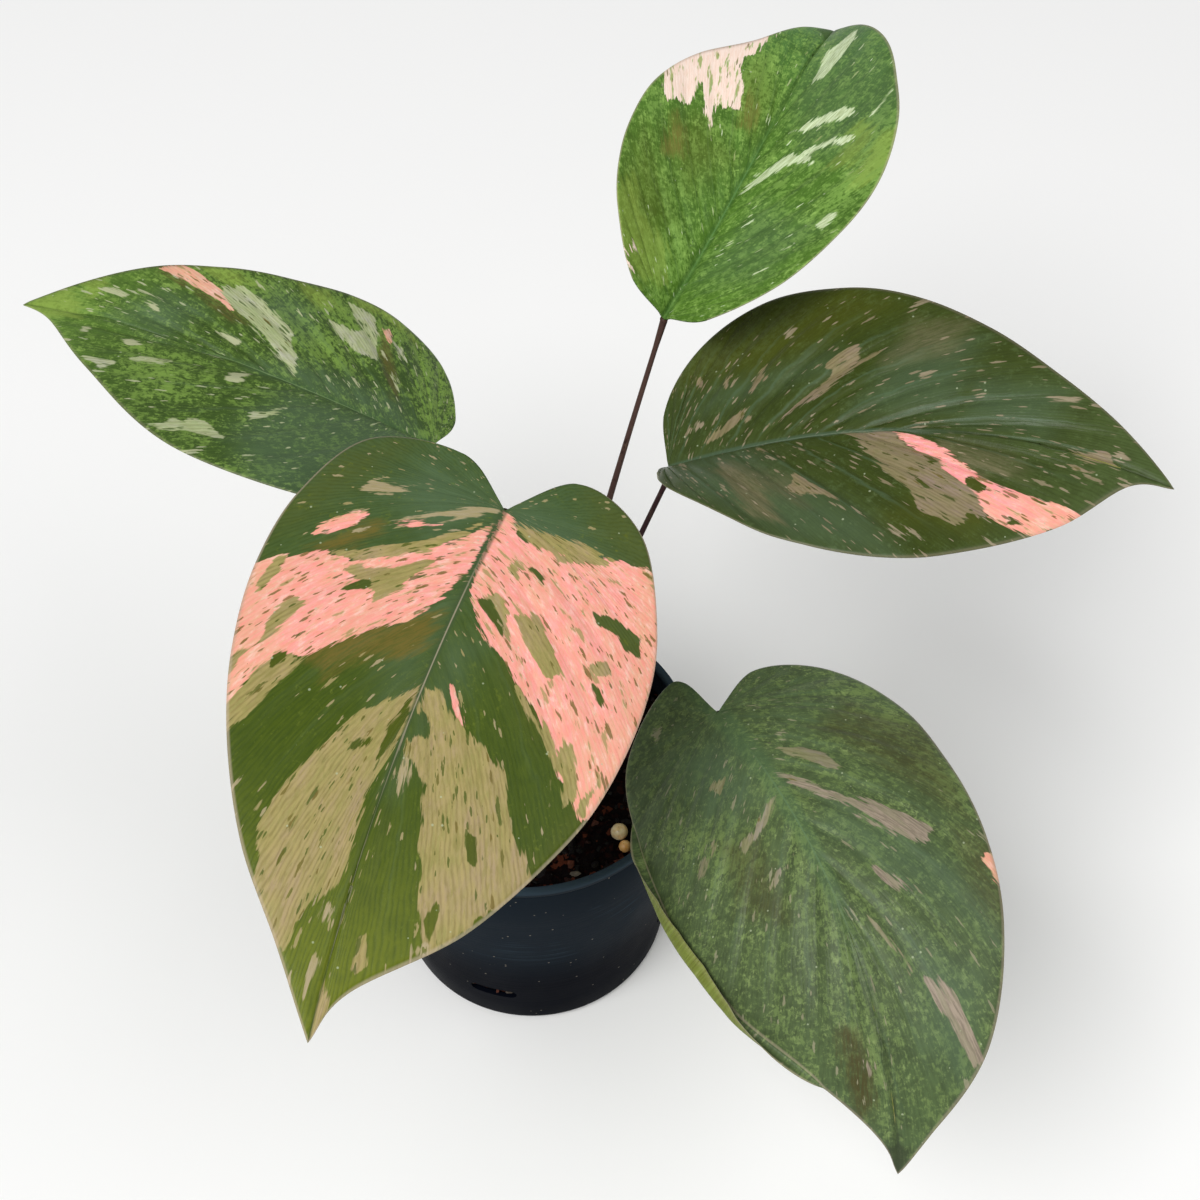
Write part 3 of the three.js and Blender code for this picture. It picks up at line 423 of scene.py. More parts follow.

# Broad tones without an edge, given in the same way as the patches. The cool tones are painted sheen
TONES = {
    "front": {
        "painted_sheen": [[(-30, 4), (-14, -2), (0, -4), (0, 12), (-12, 10), (-28, 14)],
                 [(2, 0), (16, -4), (20, 4), (10, 12)], [(-6, 30), (-1, 30), (-1, 60), (-6, 40)],
                 [(2, 22), (7, 34), (6, 50), (1, 40)]],
        "olive": [[(-34, -4), (-22, -12), (-10, -14), (-16, -4), (-28, 4), (-38, 16)],
                  [(-26, 30), (-12, 32), (-18, 40), (-30, 46)],
                  [(22, -8), (34, 2), (38, 20), (34, 18), (26, 4)],
                  [(-36, 46), (-28, 66), (-14, 88), (-20, 78), (-34, 56)]],
    },
    "left": {
        "painted_sheen": [[(-32, 0), (-2, -10), (0, 8), (-4, 32), (-22, 37), (-36, 30)],
                 [(0, 2), (8, 10), (6, 34), (0, 40)], [(14, 32), (22, 34), (24, 44), (16, 46)],
                 [(0, 60), (10, 56), (10, 66), (2, 72)]],
        "bright": [[(10, 24), (30, 10), (36, 22), (30, 34), (20, 44), (10, 40)],
                   [(-6, 84), (6, 76), (12, 80), (0, 96)], [(-20, 44), (-6, 48), (-6, 62), (-18, 60)],
                   [(14, 46), (28, 40), (26, 62), (16, 68)],
                   [(-26, -2), (30, -4), (34, 12), (20, 8), (4, 4)]],
    },
    "top": {
        "painted_sheen": [[(2, 60), (12, 44), (30, 40), (30, 60), (16, 80), (4, 96), (0, 90)],
                 [(2, 8), (20, 10), (26, 24), (8, 30)]],
        # The first of these, on the right half, is painted sheen.
        "bright": [[(24, 26), (34, 34), (34, 50), (24, 54)], [(-12, 5), (-4, 2), (-4, 16), (-12, 20)],
                   [(-12, 56), (-4, 50), (-4, 70), (-10, 74)]],
        "olive": [[(-20, 36), (-10, 26), (-4, 40), (-16, 46)], [(-12, 60), (-3, 48), (-3, 60), (-9, 70)],
                  [(-24, 12), (-12, 4), (-10, 18), (-24, 34)]],
        # Painted shadow where the tip curls under.
        "dark": [[(-3, 93), (-2, 100), (4, 100), (2, 91), (0, 89)]],
    },
    "right": {
        # Painted light on the shoulder that curves away from the lamp.
        "bright": [[(-38, 8), (-26, -2), (-18, 4), (-24, 20), (-34, 34), (-38, 26)]],
        "painted_sheen": [[(1, 2), (14, 8), (26, 16), (34, 36), (32, 56), (24, 50), (14, 28), (2, 18)],
                 [(-20, 46), (-4, 40), (-4, 60), (-22, 60)], [(-12, 62), (-2, 60), (-2, 76), (-12, 78)],
                 [(-16, 12), (-12, 8), (-16, 34), (-20, 34)]],
        "olive": [[(-38, 10), (-20, 0), (-18, 22), (-30, 44), (-38, 36)],
                  [(14, 60), (24, 52), (22, 70), (14, 74)]],
        "brown": [[(10, 18), (20, 26), (24, 36), (16, 32)], [(-26, 48), (-16, 44), (-18, 56), (-26, 58)],
                  [(2, 60), (7, 66), (8, 76), (4, 72)]],
    },
    "low": {
        "painted_sheen": [[(-18, 44), (-8, 32), (-4, 36), (-14, 52), (-26, 66), (-28, 58)],
                 [(2, 6), (14, 0), (16, 18), (4, 24)], [(-20, 70), (-10, 60), (-8, 78), (-14, 88)]],
        "bright": [[(-1, 20), (2, 20), (3, 60), (1, 84), (-1, 70)],
                   [(-34, 6), (-26, 4), (-30, 44), (-35, 36)], [(14, 22), (24, 14), (22, 34), (12, 36)]],
        "brown": [[(3, 80), (5, 74), (6, 88), (4.4, 91)],
                  [(-36, 22), (-24, 10), (-14, 14), (-22, 30), (-30, 44)],
                  [(-32, 50), (-27, 44), (-24, 56), (-29, 66)], [(8, 30), (16, 26), (18, 44), (10, 50)]],
        "dark": [[(-3, 98), (0, 105), (3, 98.6), (0, 97)]],
    },
}

# How the outlines of each kind of patch fray, how soft their edges are in millimetres and how much they
# cover, in the order in which they are laid over each other
PATCHES = {
    # The cool tone is painted sheen.
    "painted_sheen_tone": dict(fray=0.8, edge=5.0, opacity=0.8),
    "olive_tone": dict(fray=0.8, edge=5.0, opacity=0.8),
    "brown_tone": dict(fray=0.8, edge=3.0, opacity=0.6),
    # On the top blade the dark tone is painted shadow under the curled tip.
    "dark_tone": dict(fray=0.3, edge=0.8, opacity=0.85),
    "lime": dict(fray=1.3, edge=1.6, opacity=0.6),
    "brown": dict(fray=1.0, edge=1.6, opacity=1.0),
    "mauve": dict(fray=0.85, edge=0.25, opacity=1.0),
    "pink": dict(fray=0.62, edge=0.16, opacity=1.0),
    "tan": dict(fray=0.66, edge=0.2, opacity=1.0),
    "cream": dict(fray=0.9, edge=0.15, opacity=1.0),
    "pale": dict(fray=0.85, edge=0.3, opacity=0.9),
    "green": dict(fray=0.4, edge=0.16, opacity=1.0),
}
WITHOUT_GREEN = ("pink", "cream", "tan", "mauve")


# Settings that a user would change

def length(name, description, default):
    return FloatProperty(name=name, description=description, default=default, min=0, unit="LENGTH",
                         precision=5)


def colour(name, description, default):
    return FloatVectorProperty(name=name, description=description, default=default, subtype="COLOR",
                               size=3, min=0, max=1)


class LeafSettings(bpy.types.PropertyGroup):
    """Sizes and colours that the blades share"""
    thickness: length("Blade Thickness", "Thickness of a blade between its margins", 0.5 * MM)
    rows: IntProperty(name="Rows", description="Rows of faces along a blade", default=190, min=20)
    columns: IntProperty(name="Columns", description="Columns of faces on half a blade", default=48, min=6)
    pink: colour("Pink", "Patches without green and with much red", (0.94, 0.385, 0.345))
    salmon: colour("Salmon", "Deeper streaks in the pink", (0.86, 0.275, 0.235))
    peach: colour("Peach", "Yellower streaks in the pink", (0.76, 0.42, 0.255))
    tan: colour("Tan", "Patches of thin green over cream", (0.33, 0.275, 0.105))
    olive: colour("Olive", "Thin green over red", (0.092, 0.094, 0.008))
    cream: colour("Cream", "Patches without any pigment", (0.95, 0.77, 0.67))
    mauve: colour("Mauve", "Greyish patches on the oldest blade", (0.29, 0.235, 0.18))
    brown: colour("Brown", "Red over green", (0.16, 0.116, 0.022))
    lime: colour("Lime", "Thin young green", (0.3, 0.4, 0.07))
    # Painted sheen: the bluish reflection of the light on the green, laid into the cool tones and along the
    # side veins
    painted_sheen: colour("Painted Sheen", "Painted sheen on the green", (0.094, 0.152, 0.086))
    underside: colour("Underside", "The back of a blade", (0.15, 0.172, 0.01))


class StalkSettings(bpy.types.PropertyGroup):
    """Colours and faces of the leaf stalks"""
    foot: colour("Foot", "Leaf stalk near the soil", (0.016, 0.004, 0.006))
    neck: colour("Neck", "Leaf stalk near its blade", (0.024, 0.007, 0.008))
    # A paler neck colour, used on the top stalk.
    palest_neck: colour("Palest Neck", "The palest leaf stalk", (0.07, 0.038, 0.03))
    sides: IntProperty(name="Sides", description="Faces round a leaf stalk", default=20, min=6)


class PotSettings(bpy.types.PropertyGroup):
    """Colours and faces of the pot"""
    plastic: colour("Plastic", "Blue-black moulded plastic", (0.0026, 0.0036, 0.0068))
    # Also the colour of the painted highlight on the lip and the painted sheen on the upper wall.
    scuff_and_sheen: colour("Scuffs and Sheen", "Rubbed rings, painted sheen on the upper wall and painted highlight on the lip", (0.036, 0.056, 0.074))
    dust: colour("Dust", "Specks of dry soil", (0.3, 0.27, 0.22))
    segments: IntProperty(name="Segments", description="Faces round the pot", default=216, min=24)


class SoilSettings(bpy.types.PropertyGroup):
    """Colours and chips of the potting mix"""
    peat: colour("Peat", "Wet ground between the bark", (0.002, 0.0005, 0.0007))
    bark: colour("Bark", "Chips of bark", (0.026, 0.0065, 0.004))
    bead: colour("Beads", "Slow fertiliser", (1.0, 0.84, 0.53))
    chips: IntProperty(name="Chips", description="Chips of bark on the soil", default=620, min=0)
    seed: IntProperty(name="Seed", description="Another scatter of the same chips", default=7)


class StageSettings(bpy.types.PropertyGroup):
    """Floor and light"""
    floor: colour("Floor", "Pale ground under the pot", (0.95, 0.95, 0.945))
    key: FloatProperty(name="Key Light", description="Strength of the large lamp", default=5.2, min=0,
                       unit="POWER")


class PlantSettings(bpy.types.PropertyGroup):
    """All settings of the plant"""
    leaf: PointerProperty(type=LeafSettings)
    stalk: PointerProperty(type=StalkSettings)
    pot: PointerProperty(type=PotSettings)
    soil: PointerProperty(type=SoilSettings)
    stage: PointerProperty(type=StageSettings)


# Building blocks for pieces

def mesh_of(bm, name):
    """Turns a bmesh, which it uses up, into a mesh."""
    mesh = bpy.data.meshes.new(name)
    bm.to_mesh(mesh)
    bm.free()
    return mesh


def put_up(name, data):
    """A new object in the scene."""
    thing = bpy.data.objects.new(name, data)
    bpy.context.scene.collection.objects.link(thing)
    return thing


def finished(bm, name, materials, node=None, smooth=True):
    """Turns a bmesh into a piece of the plant that rides on the frame."""
    mesh = mesh_of(bm, name)
    mesh.shade_smooth() if smooth else mesh.shade_flat()
    for material in materials:
        mesh.materials.append(material)
    piece = put_up(name, mesh)
    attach(piece, "root")
    if node:
        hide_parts(node)
    return piece


def shaped_grid(bm, columns, rows, shape):
    """Lays a grid of faces and carries its vertices to shape(u, v), with u and v from 0 to 1."""
    made = bmesh.ops.create_grid(bm, x_segments=columns, y_segments=rows, size=1)["verts"]
    flat = np.array([vertex.co for vertex in made])
    places = shape((flat[:, 0] + 1) / 2, (flat[:, 1] + 1) / 2)
    for vertex, place in zip(made, places):
        vertex.co = place
    return made


def parallel_frames(points):
    """A side and an up direction at each point of a path, without needless turning."""
    ways = np.gradient(points, axis=0)
    ways /= np.linalg.norm(ways, axis=1)[:, None]
    side = np.cross(ways[0], (0, 1, 0.2))
    sides = []
    for way in ways:
        side = side - way * side.dot(way)
        side /= np.linalg.norm(side)
        sides.append(side)
    sides = np.array(sides)
    return sides, np.cross(ways, sides)


def table_at(places, given, table):
    """Every column of a table, read at places between its rows."""
    return np.stack([np.interp(places, given, column) for column in table.T], -1)


def tube(bm, points, radii, sides, section=None):
    """Rolls a grid into a tube along a path. section(turn, along) swells or pinches its outline."""
    across, up = parallel_frames(points)
    places = np.linspace(0, 1, len(points))

    def shape(u, v):
        turn = 2 * math.pi * u
        radius = np.interp(v, places, radii)
        if section:
            radius = radius * section(turn, v)
        ring = (table_at(v, places, across) * np.cos(turn)[:, None]
                + table_at(v, places, up) * np.sin(turn)[:, None])
        return table_at(v, places, points) + ring * radius[:, None]

    made = shaped_grid(bm, sides, len(points) - 1, shape)
    bmesh.ops.remove_doubles(bm, verts=made, dist=1e-7)
    open_edges = [edge for edge in bm.edges if edge.is_boundary]
    bmesh.ops.holes_fill(bm, edges=open_edges, sides=0)
    bmesh.ops.recalc_face_normals(bm, faces=bm.faces)


def catmull_rom(points, count, spacing=0.0):
    """A smooth path through points, with its steps as long as each other. spacing 0.5 is centripetal."""
    points = np.asarray(points, float)
    ends = np.vstack([2 * points[0] - points[1], points, 2 * points[-1] - points[-2]])
    gaps = np.linalg.norm(np.diff(ends, axis=0), axis=1) ** spacing
    t = np.linspace(0, len(points) - 1, 40 * len(points) if count < 1000 else count)
    i = np.minimum(t.astype(int), len(points) - 2)
    w = (t - i)[:, None]
    before, start, end, after = ends[i], ends[i + 1], ends[i + 2], ends[i + 3]
    g0, g1, g2 = gaps[i][:, None], gaps[i + 1][:, None], gaps[i + 2][:, None]
    leave = ((start - before) / g0 - (end - before) / (g0 + g1) + (end - start) / g1) * g1
    arrive = ((end - start) / g1 - (after - start) / (g1 + g2) + (after - end) / g2) * g1
    path = ((2 * start - 2 * end + leave + arrive) * w ** 3
            + (-3 * start + 3 * end - 2 * leave - arrive) * w ** 2 + leave * w + start)
    run = np.concatenate([[0], np.cumsum(np.linalg.norm(np.diff(path, axis=0), axis=1))])
    return table_at(np.linspace(0, run[-1], count), run, path)


# The blade's surface

def way_at(blade, along):
    """Dip, heading and roll of the midrib at a distance along it, in radians."""
    part = np.clip(along / blade["length"], 0, 1)
    dip = np.radians(blade["dip"] + blade["droop"] * part ** blade["bend"])
    heading = np.radians(blade["heading"] + blade["sway"] * part)
    roll = np.radians(blade["roll"] + blade["twist"] * part)
    return dip, heading, roll


def forward_of(dip, heading):
    """The direction in which the midrib runs."""
    return np.stack([np.cos(dip) * np.cos(heading), np.cos(dip) * np.sin(heading), -np.sin(dip)], -1)


def midrib_at(blade, along):
    """Points on the midrib, with the blade's right and up beside them."""
    step = blade["length"] / MIDRIB_STEPS
    dip, heading, _ = way_at(blade, (np.arange(MIDRIB_STEPS) + 0.5) * step)
    stations = np.vstack([np.zeros(3), np.cumsum(forward_of(dip, heading) * step, 0)])
    stations += np.array(blade["attachment"])
    place = np.clip(along / step, 0, MIDRIB_STEPS)
    i = np.minimum(place.astype(int), MIDRIB_STEPS - 1)
    point = stations[i] + (stations[i + 1] - stations[i]) * (place - i)[..., None]
    dip, heading, roll = way_at(blade, along)
    point = point + forward_of(dip, heading) * np.minimum(along, 0)[..., None]
    level = np.stack([np.sin(heading), -np.cos(heading), 0 * heading], -1)
    up = np.stack([np.sin(dip) * np.cos(heading), np.sin(dip) * np.sin(heading), np.cos(dip)], -1)
    turn, lean = np.cos(roll)[..., None], np.sin(roll)[..., None]
    return point, level * turn - up * lean, up * turn + level * lean


def bent_into_space(blade, side, across, along):
    """Flat places of a blade, beside and along its midrib, bent as the blade is."""
    point, right, up = midrib_at(blade, along)
    sign = 1 if side == "right" else -1
    bend = math.radians(blade["arch"]) / ARCH_WIDTH
    lift = blade["lift"][side] * (1 - np.clip(along / blade["length"], 0, 1)) ** 2
    fold = np.radians(blade["fold"][side] + lift)
    out = (np.sin(fold) - np.sin(fold - bend * across)) / bend
    rise = (np.cos(fold - bend * across) - np.cos(fold)) / bend
    return point + right * (sign * out)[..., None] + up * rise[..., None]


def outline_at(blade, side, reach):
    """Flat places on the margin, by their share of the way from the foot to the tip."""
    path = catmull_rom([(0, 0), *blade[side], (0, blade["length"])], 4001)
    return table_at(reach, np.linspace(0, 1, len(path)), path)


def curl_at(blade, side, reach):
    """How far the margin is rolled, from 0 to 1."""
    curl = blade.get("curl")
    if not curl or curl["side"] != side:
        return np.zeros_like(reach)
    part = np.clip((reach - curl["start"]) / (curl["end"] - curl["start"]), 0, 1)
    return np.sin(math.pi * part).clip(0) ** CURL_EASE


def vein_end(blade, side, reach):
    """Where a vein meets the margin on the flat blade, drawn in where the margin is rolled."""
    end = outline_at(blade, side, reach)
    curl = curl_at(blade, side, reach)
    if curl.any():
        tangent = outline_at(blade, side, reach + 0.002) - outline_at(blade, side, reach - 0.002)
        tangent /= np.linalg.norm(tangent, axis=-1)[..., None]
        inward = np.stack([-tangent[..., 1], tangent[..., 0]], -1)
        end = end + inward * (blade["curl"]["inset"] * curl)[..., None]
    return end


def vein_start(blade, reach):
    """How far along the midrib a vein leaves it."""
    start = 0
    for side in ("left", "right"):
        left = (blade["length"] - vein_end(blade, side, reach)[..., 1]) / (blade["length"] * (1 - FAN_END))
        start = start + LAST_VEIN_START * blade["length"] * (1 - np.sqrt(np.clip(left, 0, 1)))
    return start / 2


def vein_point(blade, side, reach, part):
    """A point on a vein, which bends once on its way to the margin."""
    start = vein_start(blade, reach)
    end = vein_end(blade, side, reach)
    straight = 1 - np.clip((reach - FIRST_VEIN_REACH) / FAN_REACH, 0, 1)
    along = ELBOW_ALONG + (ELBOW_OUT - ELBOW_ALONG) * straight
    root = np.stack([0 * start, start], -1)
    elbow = np.stack([ELBOW_OUT * end[..., 0], start + along * (end[..., 1] - start)], -1)
    p = part[..., None]
    return (1 - p) ** 2 * root + 2 * (1 - p) * p * elbow + p ** 2 * end


def flat_place(blade, side, reach, part):
    """Where a share of the way out along a vein lies on the flat blade."""
    flat = vein_point(blade, side, reach, part)
    share = ((reach - FIRST_VEIN_REACH) / (SECOND_VEIN_REACH - FIRST_VEIN_REACH))[..., None]
    near_foot = np.broadcast_to(share < 1, flat.shape)
    first = np.full_like(reach, FIRST_VEIN_REACH)
    second = np.full_like(reach, SECOND_VEIN_REACH)
    edge = (1 - share) * outline_at(blade, side, first) + share * outline_at(blade, side, second)
    between = ((1 - share) * outline_at(blade, side, FIRST_VEIN_REACH * part)
               + share * vein_point(blade, side, second, part)
               + part[..., None] ** 2 * (outline_at(blade, side, reach) - edge))
    return np.where(near_foot, between, flat)


def blade_relief(flat, reach, part, blade, depth):
    """How far the midrib and the lateral veins lie below the blade between them."""
    along = np.clip(flat[..., 1] / blade["length"], 0, 1)
    width = 1.3 - 0.8 * along
    midrib = midrib_depth(along) * np.exp(-(flat[..., 0] / width) ** 2)
    ridge = 0.5 + 0.5 * np.cos(2 * math.pi * LATERAL_VEINS * reach)
    from_foot = np.clip(np.hypot(flat[..., 0], flat[..., 1]) / 26, 0, 1)
    swell = np.clip(part / 0.12, 0, 1) * (1 - part ** 4) * from_foot
    billow = np.sin(23 * reach + 3 * part + 0.6) * np.sin(41 * reach + 1.3) * np.sin(math.pi * part)
    return -midrib - depth * swell * (1.2 * ridge ** 3 - 0.8 * billow)


def midrib_depth(along):
    """How deep the midrib lies, in millimetres, at a share of the way to the tip."""
    return 0.42 - 0.25 * along


def blade_grids(blade, rows, half, roll, depth):
    """The blade's vertices, flat places and vein places, row by row, with its rolled margin."""
    crowded = 1 - (1 - np.linspace(0, 1, rows + 1)) ** TIP_CROWDING
    reach = FIRST_VEIN_REACH + (1 - FIRST_VEIN_REACH) * crowded
    part = np.linspace(0, 1, half + 1) ** MIDRIB_CROWDING
    reaches, parts = np.meshgrid(reach, part, indexing="ij")
    halves = {}
    for side in ("left", "right"):
        flat = flat_place(blade, side, reaches, parts)
        space = bent_into_space(blade, side, flat[..., 0], flat[..., 1])
        turn = 2 * math.pi * MARGIN_WAVES * reaches + WAVE_PHASE[side]
        space[..., 2] += blade["wave"] * parts ** 2 * np.sin(turn) * np.sin(math.pi * reaches)
        halves[side] = (space, flat)
    left_space, left_flat = halves["left"]
    right_space, right_flat = halves["right"]
    space = np.concatenate([left_space[:, :0:-1], right_space], 1)
    mirrored = left_flat[:, :0:-1] * (-1, 1)
    flat = np.concatenate([mirrored, right_flat], 1)
    both = np.concatenate([-part[:0:-1], part])
    normal = np.cross(np.gradient(space, axis=1), np.gradient(space, axis=0))
    size = np.linalg.norm(normal, axis=-1)[..., None]
    normal = np.where(size > 1e-9, normal / np.maximum(size, 1e-9), (0, 0, 1))
    relief = blade_relief(flat, reach[:, None], np.abs(both)[None, :], blade, depth)
    space = space + normal * relief[..., None]
    if roll:
        space, flat, both = with_rolled_margin(blade, space, flat, both, reach, roll)
    return space, flat, reach, both


def with_rolled_margin(blade, space, flat, both, reach, roll):
    """Columns that go on from the right margin, turn up and lie back over the blade."""
    curl = curl_at(blade, "right", reach)
    origin = space[:, -1]
    along = np.gradient(origin, axis=0)
    along /= np.linalg.norm(along, axis=1)[:, None]
    outward = origin - space[:, -3]
    outward -= along * (outward * along).sum(1)[:, None]
    outward /= np.maximum(np.linalg.norm(outward, axis=1), 1e-9)[:, None]
    up = np.cross(outward, along)
    up *= np.where(up[:, 2] < 0, -1, 1)[:, None]
    columns = []
    for step in np.linspace(0, 1, roll + 1)[1:]:
        turn = np.radians(blade["curl"]["turn"] * curl * min(step / FLANGE_START, 1))
        flange = blade["curl"]["flange"] * curl * max(step - FLANGE_START, 0) / (1 - FLANGE_START)
        out = blade["curl"]["radius"] * np.sin(turn) * (curl > 0) + flange * np.cos(turn)
        rise = blade["curl"]["radius"] * (1 - np.cos(turn)) + flange * np.sin(turn)
        columns.append(origin + outward * out[:, None] + up * rise[:, None])
    space = np.concatenate([space, np.stack(columns, 1)], 1)
    flat = np.concatenate([flat, np.repeat(flat[:, -1:], roll, 1)], 1)
    both = np.concatenate([both, 1 + np.linspace(0, 0.1, roll + 1)[1:]])
    return space, flat, both


def depth_inside(outline, places):
    """How far places lie inside a closed outline, in millimetres, and below zero outside it."""
    corners = np.array(outline, float)
    nexts = np.roll(corners, -1, 0)
    inside = np.zeros(len(places), bool)
    nearest = np.full(len(places), 1e9)
    for (x0, y0), (x1, y1) in zip(corners, nexts):
        crosses = (y0 > places[:, 1]) != (y1 > places[:, 1])
        reach = x0 + (places[:, 1] - y0) * (x1 - x0) / (y1 - y0 if y1 != y0 else 1e-9)
        inside ^= crosses & (places[:, 0] < reach)
        edge = np.array([x1 - x0, y1 - y0])
        share = np.clip(((places - (x0, y0)) @ edge) / edge.dot(edge), 0, 1)
        nearest = np.minimum(nearest, np.linalg.norm(places - (x0, y0) - share[:, None] * edge, axis=1))
    return np.where(inside, nearest, -nearest)


def blade_mesh(name, leaf):
    """A blade whose vertices know how deep they lie in each kind of patch."""
    blade = BLADES[name]
    roll = CURL_COLUMNS if "curl" in blade else 0
    space, flat, reach, both = blade_grids(blade, leaf.rows, leaf.columns, roll, FINISHES[name]["relief"])
    rows, columns = space.shape[0] - 1, space.shape[1] - 1
    bm = bmesh.new()
    bmesh.ops.create_grid(bm, x_segments=columns, y_segments=rows, size=1)
    bm.verts.ensure_lookup_table()
    grid = np.array([vertex.co[:2] for vertex in bm.verts])
    i = np.rint((grid[:, 1] + 1) / 2 * rows).astype(int)
    j = np.rint((grid[:, 0] + 1) / 2 * columns).astype(int)
    places = flat[i, j]
    veins_map = bm.loops.layers.uv.new("Veins")
    flat_map = bm.loops.layers.uv.new("Flat")
    for face in bm.faces:
        right = sum(both[j[loop.vert.index]] for loop in face.loops) > 0
        for loop in face.loops:
            k = loop.vert.index
            loop[veins_map].uv = (reach[i[k]] + RIGHT_HALF * right, abs(both[j[k]]))
            loop[flat_map].uv = places[k] / FLAT_UNIT + FLAT_FOOT
    patches = [*MARKINGS[name].items(), *((f"{tone}_tone", spots) for tone, spots in TONES[name].items())]
    for kind, outlines in patches:
        layer = bm.verts.layers.float.new(kind)
        depth = np.max([depth_inside(outline, places) for outline in outlines], 0)
        for vertex, value in zip(bm.verts, np.clip(depth, -DEEPEST, DEEPEST)):
            vertex[layer] = value
    weights = bm.verts.layers.deform.verify()
    margin = np.clip((1 - np.abs(both[j])) / THIN_MARGIN, 0, 1)
    for vertex, (row, column), weight in zip(bm.verts, zip(i, j), margin):
        vertex.co = space[row, column] * MM
        vertex[weights][0] = MARGIN_THICKNESS + (1 - MARGIN_THICKNESS) * weight
    bmesh.ops.remove_doubles(bm, verts=bm.verts, dist=2e-6)
    if sum(face.normal.z * face.calc_area() for face in bm.faces) < 0:
        bmesh.ops.reverse_faces(bm, faces=bm.faces)
    return bm


# Shader building blocks

def add_node(tree, kind, inputs=(), **settings):
    """Adds a node, sets its properties, and links or sets its sockets."""
    node = tree.nodes.new("ShaderNode" + kind)
    for key, value in settings.items():
        setattr(node, key, value)
    for key, value in dict(inputs).items():
        if isinstance(value, bpy.types.NodeSocket):
            tree.links.new(value, node.inputs[key])
        elif node.inputs[key].type == "RGBA":
            node.inputs[key].default_value = (*value, 1)
        else:
            node.inputs[key].default_value = value
    return node


def maths(tree, operation, *values):
    return add_node(tree, "Math", dict(enumerate(values)), operation=operation).outputs[0]


def times(tree, value, factor):
    return maths(tree, "MULTIPLY", value, factor)


def mixed(tree, factor, first, second, blend="MIX"):
    """The first colour with the second over it, by a factor from 0 to 1."""
    node = add_node(tree, "Mix", {0: factor, 6: first, 7: second}, data_type="RGBA", blend_type=blend)
    return node.outputs[2]


def stepped(tree, value, low, high, to_low=0.0, to_high=1.0):
    """Goes smoothly from one number to another while value goes from low to high."""
    inputs = {0: value, 1: low, 2: high, 3: to_low, 4: to_high}
    return add_node(tree, "MapRange", inputs, interpolation_type="SMOOTHSTEP").outputs[0]


def layered(tree, base, *layers):
    """A colour with others laid over it in turn, each given as its cover and its colour."""
    for cover, over in layers:
        base = mixed(tree, cover, base, over)
    return base


def shaded(shade, colour_given):
    """A colour with each of its channels multiplied."""
    return tuple(channel * factor for channel, factor in zip(colour_given, shade))


def stretched(tree, vector, scale):
    """A vector multiplied, so that a pattern on it is finer or longer along an axis."""
    return add_node(tree, "VectorMath", {0: vector, 1: scale}, operation="MULTIPLY").outputs[0]


def shifted(tree, vector, seed):
    """A vector moved off its plane, so that each seed gives another pattern of the same kind."""
    offset = add_node(tree, "CombineXYZ", {"Z": seed}).outputs[0]
    return add_node(tree, "VectorMath", {0: vector, 1: offset}, operation="ADD").outputs[0]


def noise_of(tree, vector, scale, detail=2.0, roughness=0.5, distortion=0.0):
    """Noise on a vector. A scale for each axis draws it out."""
    if isinstance(scale, tuple):
        vector, scale = stretched(tree, vector, scale), 1.0
    inputs = {"Vector": vector, "Scale": scale, "Detail": detail, "Roughness": roughness,
              "Distortion": distortion}
    return add_node(tree, "TexNoise", inputs).outputs["Fac"]


def cells_of(tree, vector, scale):
    """Scattered cells: how far their middles are, and chance values for each cell."""
    cells = add_node(tree, "TexVoronoi", {"Vector": vector, "Scale": scale}).outputs
    return cells["Distance"], add_node(tree, "SeparateColor", {0: cells["Color"]}).outputs


def new_group(name, inputs, outputs):
    """An empty shader group with float (f) and vector (v) sockets."""
    group = bpy.data.node_groups.new(name, "ShaderNodeTree")
    kinds = {"f": "NodeSocketFloat", "v": "NodeSocketVector"}
    for socket, kind in inputs.items():
        group.interface.new_socket(socket, in_out="INPUT", socket_type=kinds[kind])
    for socket, kind in outputs.items():
        group.interface.new_socket(socket, in_out="OUTPUT", socket_type=kinds[kind])
    source = group.nodes.new("NodeGroupInput")
    target = group.nodes.new("NodeGroupOutput")
    return group, source.outputs, target.inputs


def use_group(tree, name, **inputs):
    """Places a shared group. Its inputs are given by their names in small letters."""
    node = add_node(tree, "Group", node_tree=bpy.data.node_groups[name])
    for key, value in inputs.items():
        socket = node.inputs[key.replace("_", " ").title()]
        if isinstance(value, bpy.types.NodeSocket):
            tree.links.new(value, socket)
        else:
            socket.default_value = value
    return node.outputs


def ragged_patch_group():
    """A patch whose edge frays along the veins."""
    inputs = {"Depth": "f", "Veins": "v", "Fray": "f", "Edge": "f", "Seed": "f"}
    group, given, result = new_group("Ragged Patch", inputs, {"Mask": "f"})
    base = shifted(group, given["Veins"], given["Seed"])
    fingers = noise_of(group, base, (52, 3.4, 1), 3, 0.6)
    fringe = noise_of(group, base, (190, 15, 1), 2, 0.6)
    slow = times(group, maths(group, "SUBTRACT", fingers, 0.5), 6.5)
    quick = times(group, maths(group, "SUBTRACT", fringe, 0.5), 2.2)
    frayed = maths(group, "MULTIPLY_ADD", maths(group, "ADD", slow, quick), given["Fray"], given["Depth"])
    below = times(group, given["Edge"], -1.0)
    group.links.new(stepped(group, frayed, below, given["Edge"]), result["Mask"])


